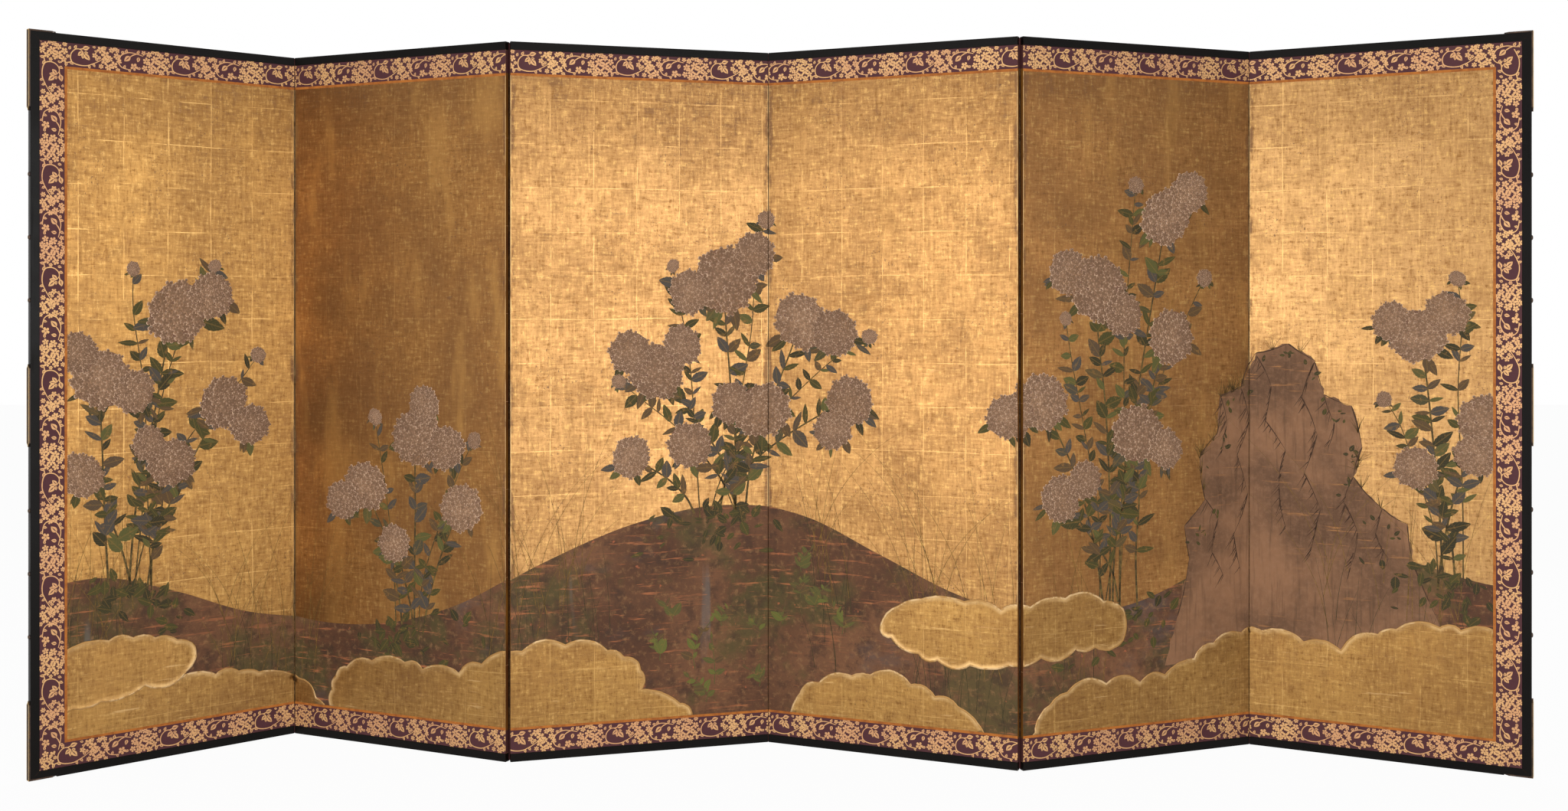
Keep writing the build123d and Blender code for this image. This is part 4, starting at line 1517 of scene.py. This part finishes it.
def makeCreases():
    # the hinge paper darkened to a painted shade for the inside of each fold
    paper = hingePaper("shadedCreasePaper", "2C1A0C", "3A240F")
    for number in range(1, screen["panels"]):
        # odd folds turn at the front edges, even ones at the back
        depth, deeper = crease["inset"], crease["reach"]
        if number % 2 == 0:
            depth, deeper = screen["depth"] - crease["inset"], -crease["reach"]
        ends = []
        for panel, x in ((number, screen["panelWidth"] + crease["off"]), (number + 1, -crease["off"])):
            ends.append([boards[panel] @ Vector((x, 0, screen["paintingFace"] - at))
                         for at in (depth, depth + deeper)])
        (nearLeft, farLeft), (nearRight, farRight) = ends
        strip = newDesign()
        steps = crease["steps"]
        for vert in bmesh.ops.create_grid(strip, x_segments=steps + 2, y_segments=1, size=1)["verts"]:
            index = round((vert.co.x + 1) / 2 * (steps + 2)) - 1
            if index < 0:
                at = farLeft
            elif index > steps:
                at = farRight
            else:
                at = nearLeft.lerp(nearRight, index / steps)
            high = screen["height"] - crease["ends"] if vert.co.y > 0 else crease["ends"]
            vert.co = (at.x, at.y, high)
        strip.normal_update()
        bmesh.ops.solidify(strip, geom=strip.faces[:], thickness=crease["thick"])
        markLayout(strip)
        piece = asObject(strip, f"fold_crease_{number}", paper)
        strip.free()
        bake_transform(piece, f"panel_{number}", f"panel_{number + 1}", start=nearLeft, end=nearRight)


makeCreases()
print("folds closed")


# domed nails, turned smooth

nail = dict(radius=6 * mm, rise=3.2 * mm, offsets=(240 * mm, 384 * mm, 528 * mm), segments=32, profile=9)


def makeDomeNails():
    for side, number, end, sign in sides:
        nails = bmesh.new()
        turnIn = boards[number] @ Matrix.Rotation(sign * pi / 2, 4, "Y")
        for offset in nail["offsets"]:
            for height in (screen["height"] / 2 - offset, screen["height"] / 2 + offset):
                profile = [nails.verts.new((nail["radius"] * cos(t), 0, nail["rise"] * sin(t)))
                           for t in (pi / 2 * step / nail["profile"] for step in range(nail["profile"] + 1))]
                edges = [nails.edges.new(pair) for pair in zip(profile, profile[1:])]
                bmesh.ops.spin(nails, geom=profile + edges, cent=(0, 0, 0), axis=(0, 0, 1), angle=2 * pi,
                               steps=nail["segments"], use_merge=True)
                fresh = [vert for vert in nails.verts if not vert.tag]
                move = Matrix.Translation(boards[number] @ Vector((end, height, -screen["depth"] / 2)))
                bmesh.ops.transform(nails, matrix=move @ turnIn.to_3x3().to_4x4(), verts=fresh)
                for vert in nails.verts:
                    vert.tag = True
        bmesh.ops.remove_doubles(nails, verts=nails.verts, dist=1e-6)
        bmesh.ops.recalc_face_normals(nails, faces=nails.faces)
        for face in nails.faces:
            face.smooth = True
        piece = makePiece(nails, f"{side}_domes", (bpy.data.materials[f"{side}Copper"],),
                          f"panel_{number}")
        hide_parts(f"{side}_dome_nails")
        nails.free()


makeDomeNails()
print("nails turned")


# floor, backdrop, lamps and camera

surroundings = dict(floorSize=14, floorColor=(0.85, 0.85, 0.85, 1), floorGlow=0.96, daylight=0.35)


def mixWhenSeen(tree, plainName, brightKind, share, outputName):
    # white to the rays that come straight, mirrored or let through from the camera, plain to the others
    path = addNode(tree, "ShaderNodeLightPath").outputs
    seen = larger(larger(path["Is Camera Ray"], path["Is Glossy Ray"]), path["Is Transmission Ray"])
    bright = addNode(tree, brightKind, {"Color": (1, 1, 1, 1), "Strength": 1.0}).outputs[0]
    inputs = {0: times(seen, share), 1: tree.nodes[plainName].outputs[0], 2: bright}
    setInputs(tree.nodes[outputName], {"Surface": addNode(tree, "ShaderNodeMixShader", inputs).outputs[0]})


def makeStage():
    floor = bmesh.new()
    bmesh.ops.create_grid(floor, x_segments=1, y_segments=1, size=surroundings["floorSize"])
    material = newMaterial("paleFloor", Roughness=0.9, Base_Color=surroundings["floorColor"])
    mixWhenSeen(material.node_tree, "Principled BSDF", "ShaderNodeEmission", surroundings["floorGlow"],
                "Material Output")
    piece = asObject(floor, "floor", material)
    floor.free()


def makeWorld():
    world = bpy.data.worlds.new("softDay")
    bpy.context.scene.world = world
    world.use_nodes = True
    tree = world.node_tree
    setInputs(tree.nodes["Background"], {"Color": (1, 1, 1, 1), "Strength": surroundings["daylight"]})
    mixWhenSeen(tree, "Background", "ShaderNodeBackground", 1.0, "World Output")


lamps = dict(
    left=dict(at=(-2.42, -3.58, 0.95), aim=(0.9, 0.0, 0.82), size=(2.5, 2.2), power=89.0, spread=180),
    right=dict(at=(1.45, -3.4, 0.91), aim=(-0.3, 0.0, 0.76), size=(1.9, 2.2), power=70.0, spread=180),
    behind=dict(at=(0.6, 3.4, 1.5), aim=(0.0, 0.0, 0.85), size=(3.0, 2.0), power=60.0, spread=180),
    farRight=dict(at=(3.4, -2.75, 1.1), aim=(-1.47, 0.0, 0.95), size=(1.6, 2.0), power=0.8, spread=16),
)


def makeLamps():
    for name, lamp in lamps.items():
        light = bpy.data.lights.new(name, "AREA")
        light.shape = "RECTANGLE"
        light.size, light.size_y = lamp["size"]
        light.energy = lamp["power"]
        light.spread = radians(lamp["spread"])
        piece = addToScene(name, light)
        piece.location = lamp["at"]
        aim = Vector(lamp["aim"]) - Vector(lamp["at"])
        piece.rotation_euler = aim.to_track_quat("-Z", "Y").to_euler()


camera = dict(at=(0.003, -3.961, 1.083), lens=37.76, sensor=36.0, shift=-0.0637)


def makeCamera():
    data = bpy.data.cameras.new("camera")
    data.sensor_fit = "HORIZONTAL"
    data.sensor_width = camera["sensor"]
    data.lens = camera["lens"]
    data.shift_y = camera["shift"]
    piece = addToScene("camera", data)
    piece.location = camera["at"]
    piece.rotation_euler = (pi / 2, 0, 0)
    bpy.context.scene.camera = piece


makeStage()
makeWorld()
makeLamps()
makeCamera()
bpy.context.scene.view_settings.view_transform = "Standard"
print("stage set")
